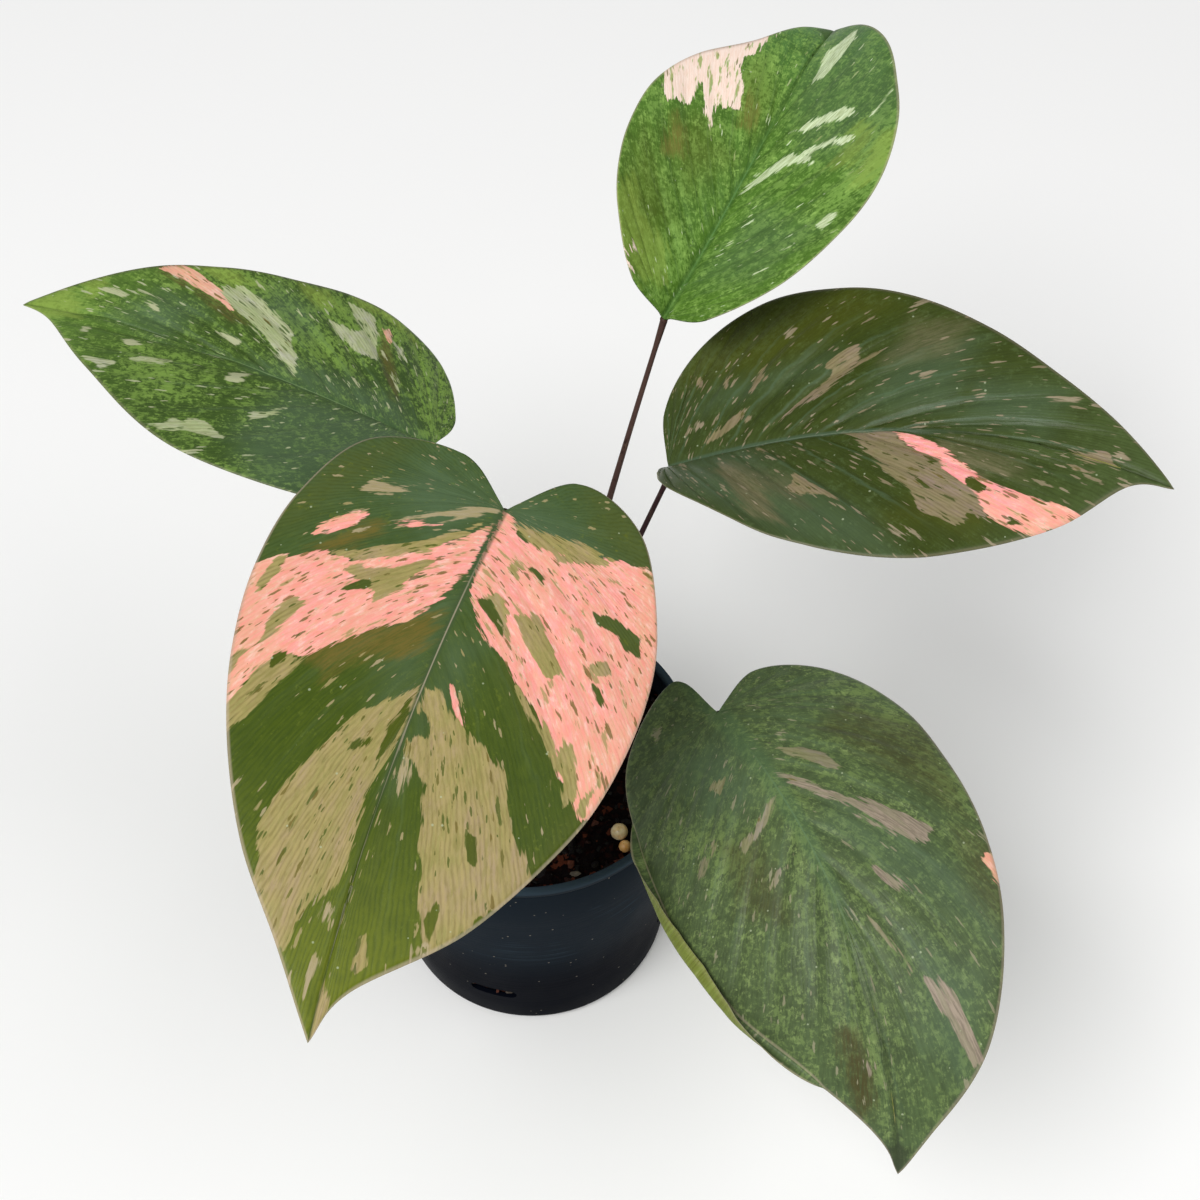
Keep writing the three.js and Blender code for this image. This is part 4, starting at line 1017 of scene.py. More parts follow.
def vein_flecks_group():
    """Short dashes that lie along the veins, with a chance value for the colour of each."""
    inputs = {"Veins": "v", "Share": "f", "Size": "f", "Fine": "f", "Seed": "f"}
    group, given, result = new_group("Vein Flecks", inputs, {"Mask": "f", "Tint": "f"})
    base = shifted(group, given["Veins"], given["Seed"])
    wander = add_node(group, "TexNoise", {"Vector": stretched(group, base, (240, 26, 1)), "Scale": 1.0})
    spread = stretched(group, wander.outputs["Color"], (0.85, 0.85, 0.0))
    long_cells = {0: stretched(group, base, (84, 9.5, 1)), "Scale": given["Fine"]}
    cells = add_node(group, "VectorMath", long_cells, operation="SCALE").outputs[0]
    cells = add_node(group, "VectorMath", {0: cells, 1: spread}, operation="ADD").outputs[0]
    distance, chance = cells_of(group, cells, 1.0)
    crowd = noise_of(group, base, (9, 2.2, 1), 1)
    share = times(group, given["Share"], stepped(group, crowd, 0.38, 0.6, 0.25, 1.5))
    edge = maths(group, "SUBTRACT", 1.0, share)
    grown = stepped(group, chance[0], edge, 1.0, 0.35, 1.0)
    kept = maths(group, "GREATER_THAN", chance[0], edge)
    radius = times(group, times(group, grown, kept), given["Size"])
    mask = stepped(group, distance, times(group, radius, 0.7), radius, 1.0, 0.0)
    group.links.new(times(group, mask, kept), result["Mask"])
    group.links.new(chance[1], result["Tint"])


def dots_group():
    """Scattered pinpricks."""
    group, given, result = new_group("Pinpricks", {"Flat": "v", "Share": "f"}, {"Mask": "f"})
    distance, chance = cells_of(group, given["Flat"], 62.0)
    kept = maths(group, "LESS_THAN", chance[0], given["Share"])
    radius = maths(group, "MULTIPLY_ADD", chance[1], 0.1, 0.09)
    spot = stepped(group, maths(group, "DIVIDE", distance, radius), 0.5, 1.0, 1.0, 0.0)
    group.links.new(times(group, spot, kept), result["Mask"])


def vein_lines_group():
    """Fine parallel veins, twice as many on the outer part of the blade, and bands along them."""
    outputs = {"Lines": "f", "Bands": "f", "Broad": "f", "Side Veins": "f"}
    group, given, result = new_group("Vein Lines", {"Veins": "v"}, outputs)
    veins = given["Veins"]
    parts = add_node(group, "SeparateXYZ", {0: veins}).outputs
    wander = noise_of(group, veins, (26, 6, 1), 3)
    sets = []
    for count, softness in ((62, 0.8), (124, 1.0)):
        turn = maths(group, "MULTIPLY_ADD", parts["X"], count, times(group, wander, 2.4))
        sets.append(stepped(group, maths(group, "PINGPONG", turn, 0.5), 0.12, 0.5, 0.0, softness))
    outer = stepped(group, parts["Y"], 0.25, 0.6)
    inner_lines = times(group, sets[0], maths(group, "SUBTRACT", 1.0, outer))
    both = maths(group, "ADD", inner_lines, times(group, sets[1], outer))
    broken = noise_of(group, veins, (160, 24, 1), 2)
    lines = times(group, both, stepped(group, broken, 0.26, 0.58, 0.1, 1.0))
    turn = maths(group, "MULTIPLY_ADD", wander, 0.5, times(group, parts["X"], LATERAL_VEINS))
    side_vein = stepped(group, maths(group, "PINGPONG", turn, 0.5), 0.0, 0.085, 1.0, 0.0)
    to_margin = stepped(group, parts["Y"], 0.6, 0.98, 1.0, 0.0)
    fading = times(group, stepped(group, parts["Y"], 0.0, 0.1), to_margin)
    group.links.new(lines, result["Lines"])
    group.links.new(noise_of(group, veins, (250, 15, 1), 3, 0.6), result["Bands"])
    group.links.new(noise_of(group, veins, (62, 6.5, 1), 3, 0.62), result["Broad"])
    group.links.new(times(group, side_vein, fading), result["Side Veins"])


def sponge_group():
    """Dabs of thinner green in drifts, as if put on with a sponge, and the soft tone under them."""
    inputs = {"Flat": "v", "Veins": "v", "Share": "f", "Seed": "f"}
    group, given, result = new_group("Sponge", inputs, {"Mask": "f", "Tone": "f"})
    flat = shifted(group, given["Flat"], given["Seed"])
    veins = shifted(group, given["Veins"], given["Seed"])
    drift = noise_of(group, veins, (17, 3.6, 1), 3, 0.55)
    cloud = noise_of(group, flat, 34, 3, 0.6, 0.4)
    streaks = noise_of(group, veins, (150, 20, 1), 4, 0.7, 0.3)
    dabs = noise_of(group, flat, 84, 4, 0.7, 0.5)
    total = maths(group, "ADD", times(group, dabs, 0.36), times(group, streaks, 0.28))
    total = maths(group, "MULTIPLY_ADD", drift, 0.16, total)
    total = maths(group, "MULTIPLY_ADD", cloud, 0.2, total)
    low = maths(group, "MULTIPLY_ADD", given["Share"], -0.13, 0.56)
    high = maths(group, "ADD", low, 0.085)
    group.links.new(stepped(group, total, low, high), result["Mask"])
    tone = maths(group, "MULTIPLY_ADD", cloud, 0.6, times(group, drift, 0.4))
    group.links.new(stepped(group, tone, 0.4, 0.62), result["Tone"])


def principled(name, specular, **others):
    """A new material with a Principled BSDF. Its other sockets are linked afterwards."""
    material = bpy.data.materials.new(name)
    material.use_nodes = True
    tree = material.node_tree
    shader = tree.nodes["Principled BSDF"]
    shader.inputs["Specular IOR Level"].default_value = specular
    for key, value in others.items():
        shader.inputs[key.replace("_", " ").title()].default_value = value
    return material, tree, shader.inputs


def dress(tree, socket, colour_given, roughness, height=None, distance=0.0, strength=1.0):
    """Links the colour and roughness of a material and the small relief of its surface."""
    tree.links.new(colour_given, socket["Base Color"])
    tree.links.new(roughness, socket["Roughness"])
    if height:
        bump = add_node(tree, "Bump", {"Height": height, "Distance": distance, "Strength": strength})
        tree.links.new(bump.outputs[0], socket["Normal"])


def object_place(tree):
    return add_node(tree, "TexCoord").outputs["Object"]


# Materials

def blade_green(tree, finish, flat, veins, along, brightened, vein_lines):
    """Green without markings, from foot to tip, with its mottling and fine veins."""
    mottled = finish["mottled"]
    lower = mixed(tree, stepped(tree, along, 0.02, 0.5), finish["foot"], finish["middle"])
    green = mixed(tree, stepped(tree, along, 0.55, 0.98), lower, finish["tip"])
    hollow = use_group(tree, "Sponge", flat=flat, veins=veins, share=mottled, seed=4.0)
    dark = maths(tree, "MULTIPLY_ADD", hollow["Mask"], 0.12, times(tree, hollow["Tone"], 0.5))
    green = mixed(tree, times(tree, dark, min(1, mottled + 0.3)), green, finish["deep"])
    light = mixed(tree, 0.5, green, finish["dab"])
    green = mixed(tree, stepped(tree, vein_lines["Bands"], 0.45, 0.68, 0.0, finish["lined"]), green, light)
    share = maths(tree, "MULTIPLY_ADD", brightened, 0.38, mottled)
    sponge = use_group(tree, "Sponge", flat=flat, veins=veins, share=share, seed=0.0)["Mask"]
    thin = maths(tree, "MULTIPLY_ADD", brightened, 0.2, 0.6)
    crumbs = use_group(tree, "Sponge", flat=flat, veins=veins, share=mottled - 0.25, seed=11.0)["Mask"]
    return layered(tree, green,
                   (times(tree, vein_lines["Lines"], finish["lined"]), finish["deep"]),
                   (times(tree, sponge, thin), finish["dab"]),
                   (times(tree, crumbs, 0.75), shaded((1.3, 1.22, 1.35), finish["dab"])))


def vein_patterns(tree, vein_lines, veins):
    """Patterns along the veins that the patches share."""
    bands, broad = vein_lines["Bands"], vein_lines["Broad"]
    grains = noise_of(tree, veins, (75, 16, 1), 4, 0.65)
    dashes = use_group(tree, "Vein Flecks", veins=veins, share=0.3, size=0.38, fine=1.9, seed=7.0)["Mask"]
    spots = use_group(tree, "Vein Flecks", veins=veins, share=0.24, size=0.42, fine=1.1, seed=13.0)["Mask"]
    return dict(
        lines=vein_lines["Lines"], bands=bands, broad=broad,
        fine=stepped(tree, bands, 0.4, 0.62),
        wide=stepped(tree, broad, 0.47, 0.56),
        region=noise_of(tree, veins, (20, 5, 1), 3, 0.6),
        deeper=stepped(tree, grains, 0.51, 0.64, 0.0, 0.6),
        lighter=stepped(tree, grains, 0.36, 0.48, 0.34, 0.0),
        dark=maths(tree, "MAXIMUM", dashes, spots))


def pink_patch(tree, leaf, finish, pattern, out):
    """Pink that turns peach outwards, with salmon streaks and dark dashes."""
    rose = shaded(finish["rose"], leaf.pink)
    return layered(tree, rose,
                   (stepped(tree, pattern["region"], 0.44, 0.64, 0.0, 0.5), leaf.peach),
                   (times(tree, pattern["wide"], 0.5), leaf.peach),
                   (stepped(tree, out, 0.7, 1.0, 0.0, 0.6), leaf.peach),
                   (pattern["deeper"], shaded((0.93, 0.8, 0.66), rose)),
                   (pattern["lighter"], leaf.cream),
                   (times(tree, pattern["fine"], 0.45), leaf.salmon),
                   (times(tree, pattern["lines"], 0.22), shaded((0.7, 0.95, 0.72), leaf.peach)),
                   (stepped(tree, pattern["broad"], 0.6, 0.65, 0.0, 0.8), leaf.tan),
                   (times(tree, pattern["dark"], 0.85), leaf.brown))


def tan_patch(tree, finish, pattern):
    """Tan in lighter and deeper grains, lined by its veins."""
    tan = finish["tan"]
    return layered(tree, tan,
                   (stepped(tree, pattern["region"], 0.38, 0.54, 0.7, 0.0), shaded((0.82, 0.94, 0.66), tan)),
                   (stepped(tree, pattern["region"], 0.5, 0.64, 0.0, 0.7), shaded((1.12, 1.0, 1.45), tan)),
                   (pattern["deeper"], shaded((0.78, 0.8, 0.64), tan)),
                   (pattern["lighter"], shaded((1.25, 1.15, 1.35), tan)),
                   (times(tree, pattern["fine"], 0.55), shaded((1.18, 1.16, 1.05), tan)),
                   (times(tree, pattern["lines"], 0.52), shaded((0.6, 0.58, 0.46), tan)),
                   (stepped(tree, pattern["broad"], 0.36, 0.44, 0.5, 0.0), shaded((0.76, 0.82, 0.6), tan)),
                   (times(tree, pattern["dark"], 0.8), finish["middle"]))


def patch_colours(tree, leaf, finish, green, pattern, out):
    """The colour inside each kind of patch and tone."""
    fine, wide = pattern["fine"], pattern["wide"]
    mauve = mixed(tree, times(tree, fine, 0.75), shaded((1.2, 1.2, 1.2), leaf.mauve),
                  shaded((0.62, 0.64, 0.6), leaf.mauve))
    cream = mixed(tree, stepped(tree, pattern["broad"], 0.54, 0.62, 0.0, 0.85), leaf.cream, finish["dab"])
    brown = mixed(tree, stepped(tree, pattern["bands"], 0.36, 0.6, 0.5, 0.95), green, finish["brown"])
    return {
        "pink": pink_patch(tree, leaf, finish, pattern, out),
        "tan": tan_patch(tree, finish, pattern),
        "mauve": mixed(tree, times(tree, wide, 0.5), mauve, finish["tan"]),
        "pale": mixed(tree, times(tree, fine, 0.6), finish["pale"], finish["tan"]),
        "cream": mixed(tree, times(tree, fine, 0.25), cream, leaf.peach),
        "green": mixed(tree, 0.35, green, leaf.olive),
        "lime": mixed(tree, 0.65, green, leaf.lime),
        "brown": brown,
        "brown_tone": brown,
        # The cool tone is painted sheen, mixed in by the bloom share.
        "painted_sheen_tone": mixed(tree, finish["bloom_and_sheen"], green, leaf.painted_sheen),
        "olive_tone": mixed(tree, 0.45, green, leaf.olive),
        # On the top blade the dark tone is painted shadow under the curled tip.
        "dark_tone": finish["deep"],
    }


def patch_mask(tree, kind, veins, seed):
    """How much a kind of patch covers its own colour."""
    patch = PATCHES[kind]
    depth = add_node(tree, "Attribute", attribute_name=kind).outputs["Fac"]
    mask = use_group(tree, "Ragged Patch", depth=depth, veins=veins, fray=patch["fray"], edge=patch["edge"],
                     seed=seed)["Mask"]
    return times(tree, mask, patch["opacity"])


def with_flecks(tree, leaf, finish, colour_now, green, without_green, flat, veins):
    """Dashes and dots of the other kind of tissue: pale on green, and green on the patches."""
    for seed, fine, size, factor in ((3.0, 1.0, 0.42, 1.0), (9.0, 1.8, 0.45, 1.1)):
        flecks = use_group(tree, "Vein Flecks", veins=veins, share=finish["flecks"] * factor, size=size,
                           fine=fine, seed=seed)
        on_patch = mixed(tree, flecks["Tint"], leaf.brown, green)
        pale = mixed(tree, flecks["Tint"], finish["tan"], finish["pale"])
        fleck = mixed(tree, stepped(tree, without_green, 0.4, 0.6), pale, on_patch)
        colour_now = mixed(tree, times(tree, flecks["Mask"], 0.8), colour_now, fleck)
    dots = use_group(tree, "Pinpricks", flat=flat, share=finish["dots"])["Mask"]
    return mixed(tree, times(tree, dots, 0.55), colour_now, (0.46, 0.52, 0.34))


def with_midrib(tree, finish, colour_now, along, across):
    """A band along the midrib with a fine line on it."""
    rib = finish["rib"]
    narrowing = stepped(tree, along, 0.0, 1.0, 1.0, 0.3)
    band = maths(tree, "DIVIDE", across, times(tree, narrowing, rib["wide"] / FLAT_UNIT))
    cover = times(tree, stepped(tree, band, 0.4, 1.1, 1.0, 0.0), rib["cover"])
    band_colour = mixed(tree, stepped(tree, along, 0.4, 0.7), rib["band"], finish["deep"])
    colour_now = mixed(tree, cover, colour_now, band_colour)
    line = maths(tree, "DIVIDE", across, times(tree, narrowing, rib["fine"] / FLAT_UNIT))
    cover = times(tree, stepped(tree, line, 0.3, 1.2, 0.55, 0.0), stepped(tree, along, 0.06, 0.25))
    cover = times(tree, cover, stepped(tree, along, 0.38, 0.62, 1.0, rib["to_tip"]))
    return mixed(tree, cover, colour_now, rib["line"])


def with_margin(tree, leaf, finish, colour_now, out):
    """A pale line on the margin, and on the edge of the strip where the margin is rolled over."""
    edge = stepped(tree, out, 0.984, 0.996, 0.0, finish["margin"])
    rolled = maths(tree, "ADD", stepped(tree, out, 1.0, 1.006, 1.0, 0.0), stepped(tree, out, 1.082, 1.096))
    return mixed(tree, times(tree, edge, rolled), colour_now, mixed(tree, 0.5, leaf.tan, leaf.cream))


def blade_colour(tree, name, leaf):
    """Everything grown into a blade's colour, and the fine veins and the flat map for its bump."""
    finish = FINISHES[name]
    veins = add_node(tree, "UVMap", uv_map="Veins").outputs[0]
    flat = add_node(tree, "UVMap", uv_map="Flat").outputs[0]
    place = add_node(tree, "SeparateXYZ", {0: flat}).outputs
    from_foot = maths(tree, "SUBTRACT", place["Y"], FLAT_FOOT[1])
    along = times(tree, from_foot, FLAT_UNIT / BLADES[name]["length"])
    across = maths(tree, "ABSOLUTE", maths(tree, "SUBTRACT", place["X"], FLAT_FOOT[0]))
    out = add_node(tree, "SeparateXYZ", {0: veins}).outputs["Y"]
    vein_lines = use_group(tree, "Vein Lines", veins=veins)
    brightened = 0.0
    # The bright tone crowds the dabs of thinner green. On the right blade it is painted light on the shoulder
    # that curves away from the lamp, and on the top blade's right half it is painted sheen.
    if "bright" in TONES[name]:
        depth = add_node(tree, "Attribute", attribute_name="bright_tone").outputs["Fac"]
        brightened = use_group(tree, "Ragged Patch", depth=depth, veins=veins, fray=1.0, edge=5.0,
                               seed=20.0)["Mask"]
    green = blade_green(tree, finish, flat, veins, along, brightened, vein_lines)
    # Painted sheen along the side veins.
    green = mixed(tree, times(tree, vein_lines["Side Veins"], finish["veined"]), green, leaf.painted_sheen)
    pattern = vein_patterns(tree, vein_lines, veins)
    colours = patch_colours(tree, leaf, finish, green, pattern, out)
    colour_now, without_green = green, 0.0
    for seed, kind in enumerate(PATCHES):
        known = TONES[name] if kind.endswith("_tone") else MARKINGS[name]
        if kind.removesuffix("_tone") not in known:
            continue
        mask = patch_mask(tree, kind, veins, float(seed))
        colour_now = mixed(tree, mask, colour_now, colours[kind])
        if kind in WITHOUT_GREEN:
            without_green = maths(tree, "MAXIMUM", without_green, mask)
        if kind == "green":
            without_green = times(tree, without_green, maths(tree, "SUBTRACT", 1.0, mask))
    colour_now = with_flecks(tree, leaf, finish, colour_now, green, without_green, flat, veins)
    colour_now = with_midrib(tree, finish, colour_now, along, across)
    return with_margin(tree, leaf, finish, colour_now, out), vein_lines["Lines"], flat


def blade_material(name, leaf):
    """The upper face: waxy, with the blade's colours and fine raised veins."""
    material, tree, socket = principled(f"Blade Face {name}", specular=0.14)
    colour_now, lines, flat = blade_colour(tree, name, leaf)
    grain = noise_of(tree, flat, 260, 3, 0.6)
    wet = noise_of(tree, flat, 9, 2, 0.5)
    rough = maths(tree, "MULTIPLY_ADD", maths(tree, "SUBTRACT", wet, 0.5), 0.25, FINISHES[name]["roughness"])
    rough = maths(tree, "MULTIPLY_ADD", maths(tree, "SUBTRACT", grain, 0.5), 0.12, rough)
    height = maths(tree, "MULTIPLY_ADD", grain, 0.5, times(tree, lines, -0.35))
    dress(tree, socket, colour_now, rough, height, 0.00012, 0.55)
    return material


def blade_back_material(name, leaf):
    """The back, duller and yellower, with the markings showing through a little."""
    material, tree, socket = principled(f"Blade Back {name}", specular=0.3)
    colour_now, lines, flat = blade_colour(tree, name, leaf)
    grain = noise_of(tree, flat, 120, 3, 0.6)
    bloom_and_sheen = mixed(tree, stepped(tree, grain, 0.35, 0.7, 0.0, 0.4), leaf.underside, leaf.lime)
    dress(tree, socket, mixed(tree, 0.75, colour_now, bloom_and_sheen), stepped(tree, grain, 0.3, 0.7, 0.5, 0.62),
          lines, 0.00015, 0.6)
    return material


def keel_material(name, leaf):
    """The midrib's back, paler than the blade's and streaked."""
    material, tree, socket = principled(f"Midrib Underneath {name}", specular=0.3)
    streaks = noise_of(tree, object_place(tree), (300, 300, 900), 3)
    base = mixed(tree, stepped(tree, streaks, 0.35, 0.7), leaf.underside, leaf.tan)
    dress(tree, socket, base, stepped(tree, streaks, 0.3, 0.7, 0.45, 0.55))
    return material


def stalk_material(name, stalk):
    """Maroon below and paler near the blade, streaked lengthwise, with a dull sheen."""
    material, tree, socket = principled(f"Leaf Stalk {name}", specular=0.1)
    place = object_place(tree)
    height = add_node(tree, "SeparateXYZ", {0: place}).outputs["Z"]
    top = BLADES[name]["attachment"][2] * MM
    rise = stepped(tree, height, 0.075, top)
    streaks = noise_of(tree, place, (900, 900, 60), 3, 0.6)
    dots = noise_of(tree, place, (1400, 1400, 500), 2)
    neck = stalk.palest_neck if name == "top" else stalk.neck
    base = mixed(tree, rise, stalk.foot, neck)
    paler = mixed(tree, 0.35, neck, (0.16, 0.12, 0.07))
    base = mixed(tree, stepped(tree, streaks, 0.52, 0.75, 0.0, 0.6), base, paler)
    darker = mixed(tree, 1.0, base, (0.4, 0.35, 0.35), "MULTIPLY")
    base = mixed(tree, stepped(tree, dots, 0.6, 0.72), base, darker)
    dress(tree, socket, base, stepped(tree, streaks, 0.3, 0.7, 0.34, 0.46), streaks, 0.0001, 0.5)
    return material


def pot_material(pot):
    """Thin moulded plastic with rubbed rings, a painted highlight on the lip, painted sheen that makes the
    wall lighter above mid height, and a little dry dust.
    """
    material, tree, socket = principled("Moulded Plastic", specular=0.006)
    place = object_place(tree)
    parts = add_node(tree, "SeparateXYZ", {0: place}).outputs
    rings = noise_of(tree, place, (9, 9, 1500), 4, 0.7)
    cloud = noise_of(tree, place, 45, 3)
    band = times(tree, stepped(tree, parts["Z"], 0.03, 0.046), stepped(tree, parts["Z"], 0.07, 0.056))
    scuffs = stepped(tree, rings, 0.5, 0.62)
    scuffs = times(tree, times(tree, scuffs, band), stepped(tree, cloud, 0.35, 0.65))
    # Painted highlight along the lip.
    lip = stepped(tree, parts["Z"], 0.0736, 0.0755, 0.0, 0.9)
    distance, chance = cells_of(tree, place, 760.0)
    speck = times(tree, stepped(tree, distance, 0.12, 0.22, 1.0, 0.0),
                  maths(tree, "GREATER_THAN", chance[0], 0.955))
    dust_cloud = noise_of(tree, place, (60, 60, 25), 5, 0.6)
    # Painted sheen: the wall is lighter above mid height and darker towards the foot, as the light falls from
    # above.
    middle = stepped(tree, parts["Z"], 0.02, 0.046, 0.0, 0.25)
    # The scuffs, with the painted highlight and sheen, take the scuff colour.
    scuffs_and_painted_sheen = maths(tree, "MAXIMUM", maths(tree, "MAXIMUM", scuffs, lip), middle)
    base = layered(tree, pot.plastic,
                   (scuffs_and_painted_sheen, pot.scuff_and_sheen),
                   (stepped(tree, dust_cloud, 0.45, 0.8, 0.0, 0.003), pot.dust),
                   (times(tree, speck, 0.55), pot.dust))
    rough = maths(tree, "ADD", stepped(tree, cloud, 0.3, 0.7, 0.34, 0.46), times(tree, scuffs, 0.25))
    dress(tree, socket, base, rough, maths(tree, "ADD", rings, times(tree, speck, 2.0)), 0.00008, 0.5)
    return material


def soil_material(soil):
    """Dark wet crumbs with some redder bits."""
    material, tree, socket = principled("Wet Peat", specular=0.06)
    place = object_place(tree)
    crumbs = noise_of(tree, place, 520, 5, 0.65)
    _, chance = cells_of(tree, place, 700.0)
    base = mixed(tree, stepped(tree, crumbs, 0.5, 0.76), soil.peat, soil.bark)
    redder = mixed(tree, stepped(tree, chance[0], 0.86, 0.96), base, (0.07, 0.018, 0.009))
    dress(tree, socket, redder, stepped(tree, crumbs, 0.3, 0.7, 0.55, 0.85), crumbs, 0.0006, 0.8)
    return material


def bark_material(soil):
    """Grained chips, from peat through red bark to grey, by the kind that each chip carries."""
    material, tree, socket = principled("Bark", specular=0.2)
    place = object_place(tree)
    kind = add_node(tree, "Attribute", attribute_name="chip").outputs["Fac"]
    grain = noise_of(tree, place, (700, 700, 1600), 4, 0.65)
    dark = mixed(tree, stepped(tree, kind, 0.55, 0.82), soil.peat, soil.bark)
    red = mixed(tree, stepped(tree, kind, 0.8, 0.86), dark, (0.12, 0.034, 0.018))
    grey = mixed(tree, stepped(tree, kind, 0.93, 0.95), red, (0.16, 0.135, 0.105))
    darker = mixed(tree, 1.0, grey, (0.45, 0.42, 0.4), "MULTIPLY")
    base = mixed(tree, stepped(tree, grain, 0.4, 0.66), darker, grey)
    dress(tree, socket, base, stepped(tree, grain, 0.3, 0.7, 0.45, 0.75), grain, 0.0004, 0.8)
    return material


def bead_material(name, bead, soil):
    """A clouded resin coat with a few stained pits."""
    material, tree, socket = principled(f"Resin Coat {name}", specular=0.5, coat_weight=0.3,
                                        coat_roughness=0.12)
    place = object_place(tree)
    cloud = noise_of(tree, place, 520, 3)
    pits = noise_of(tree, place, 2200, 2)
    darker = mixed(tree, 1.0, bead, (0.92, 0.76, 0.55), "MULTIPLY")
    base = mixed(tree, stepped(tree, cloud, 0.38, 0.66), bead, darker)
    base = mixed(tree, stepped(tree, pits, 0.62, 0.72, 0.0, 0.5), base, soil.bark)
    dress(tree, socket, base, stepped(tree, cloud, 0.3, 0.7, 0.22, 0.34), pits, 0.00006, 0.5)
    return material


def crown_material(stalk):
    """Dark stem and withered brown scale leaves, streaked upwards."""
    material, tree, socket = principled("Crown and Scale Leaves", specular=0.35)
    place = object_place(tree)
    streaks = noise_of(tree, place, (500, 500, 140), 4, 0.6)
    base = mixed(tree, stepped(tree, streaks, 0.38, 0.66), stalk.foot, (0.075, 0.048, 0.026))
    dress(tree, socket, base, stepped(tree, streaks, 0.3, 0.7, 0.45, 0.65), streaks, 0.0003, 0.7)
    return material


def floor_material(stage):
    """Plain pale ground, very slightly clouded."""
    material, tree, socket = principled("Pale Floor", specular=0.2)
    grain = noise_of(tree, object_place(tree), 3, 2)
    darker = shaded((0.985, 0.985, 0.985), stage.floor)
    dress(tree, socket, mixed(tree, grain, stage.floor, darker), stepped(tree, grain, 0.3, 0.7, 0.7, 0.75))
    return material


# Pieces

def pot_radius(height):
    """The outside radius of the pot's wall at a height."""
    return POT_BASE_RADIUS + (POT_TOP_RADIUS - POT_BASE_RADIUS) * height / POT_HEIGHT


def soil_top(x, y):
    """The height of the heaped mix, in broad and fine waves."""
    broad = 0.45 * np.sin(0.31 * x + 1.7) * np.cos(0.27 * y - 0.6)
    fine = 0.55 * np.sin(0.83 * x - 0.41 * y) * np.sin(0.77 * y + 0.22 * x + 2.1)
    return SOIL_HEIGHT + SOIL_RELIEF * (broad + fine)


def slot_azimuth(index):
    return math.radians(FIRST_SLOT_AZIMUTH + 360 / SLOT_COUNT * index)


def pot_profile():
    """Half of the pot's section, from the middle of its foot out, up, over the lip and down inside."""
    top = POT_HEIGHT
    inside = POT_TOP_RADIUS - LIP_THICKNESS
    foot = [(0, 0.7), (29.5, 0.7), (30.4, 0.5), (31, 0.1), (31.6, 0), (32.4, 0), (33.1, 0.12), (33.6, 0.45),
            (34.1, 1), (34.45, 1.6)]
    wall = [(pot_radius(height), height) for height in (2.6, 10, 22, 40, 58, top - 2.8)]
    lip = [(pot_radius(top - LIP_HEIGHT) - 0.12, top - 2.5), (pot_radius(top - 2.2), top - 2.2),
           (POT_TOP_RADIUS, top - 0.7), (39.93, top - 0.4), (39.75, top - 0.15), (39.5, top), (38.6, top),
           (38.35, top - 0.15), (38.17, top - 0.4), (inside, top - 0.7), (inside, top - LIP_HEIGHT),
           (38.2, top - 3.2)]
    inner_wall = [(pot_radius(height) - POT_WALL, height) for height in (top - 4.4, 40, 3.4)]
    floor = [(32.6, POT_FLOOR + 0.3), (31.6, POT_FLOOR), (0, POT_FLOOR)]
    return foot + wall + lip + inner_wall + floor


def pot_piece(pot):
    """The pot spun from its profile, with its drain slots cut."""
    bm = bmesh.new()
    corners = [bm.verts.new((radius * MM, 0, height * MM)) for radius, height in pot_profile()]
    edges = [bm.edges.new(pair) for pair in zip(corners, corners[1:])]
    bmesh.ops.spin(bm, geom=corners + edges, cent=(0, 0, 0), axis=(0, 0, 1), angle=2 * math.pi,
                   steps=pot.segments, use_merge=True)
    bmesh.ops.remove_doubles(bm, verts=bm.verts, dist=1e-6)
    bmesh.ops.recalc_face_normals(bm, faces=bm.faces)
    piece = finished(bm, "moulded_pot", [pot_material(pot)], node="pot")
    cut_with(piece, slot_cutters())
    piece.data.shade_smooth()
    piece.data.set_sharp_from_angle(angle=math.radians(SHARPEST_SMOOTH_TURN))
    return piece


def slot_cutters():
    """A round bar drawn out sideways through the wall at each drain slot."""
    cutters = bmesh.new()
    radius = pot_radius(SLOT_MIDDLE_HEIGHT)
    stretch = SLOT_WIDTH / 2 - SLOT_HEIGHT / 2
    for index in range(SLOT_COUNT):
        azimuth = slot_azimuth(index)
        made = bmesh.ops.create_cone(cutters, cap_ends=True, segments=24, radius1=SLOT_HEIGHT / 2 * MM,
                                     radius2=SLOT_HEIGHT / 2 * MM, depth=SLOT_CUTTER_DEPTH * MM)["verts"]
        for vertex in made:
            vertex.co.x += math.copysign(stretch * MM, vertex.co.x)
        lay = Matrix.Rotation(azimuth + math.pi / 2, 4, "Z") @ Matrix.Rotation(math.pi / 2, 4, "X")
        place = Matrix.Translation((radius * math.cos(azimuth) * MM, radius * math.sin(azimuth) * MM,
                                    SLOT_MIDDLE_HEIGHT * MM))
        bmesh.ops.transform(cutters, matrix=place @ lay, verts=made)
    bmesh.ops.recalc_face_normals(cutters, faces=cutters.faces)
    return cutters


def cut_with(piece, cutters):
    """Takes the cutters' shapes out of a piece and throws them away."""
    cutter = put_up("slots", mesh_of(cutters, "slots"))
    modifier = piece.modifiers.new("Slots", "BOOLEAN")
    modifier.operation = "DIFFERENCE"
    modifier.solver = "EXACT"
    modifier.object = cutter
    seen = piece.evaluated_get(bpy.context.evaluated_depsgraph_get())
    cut = bpy.data.meshes.new_from_object(seen)
    piece.modifiers.remove(modifier)
    piece.data = cut
    bpy.data.objects.remove(cutter)


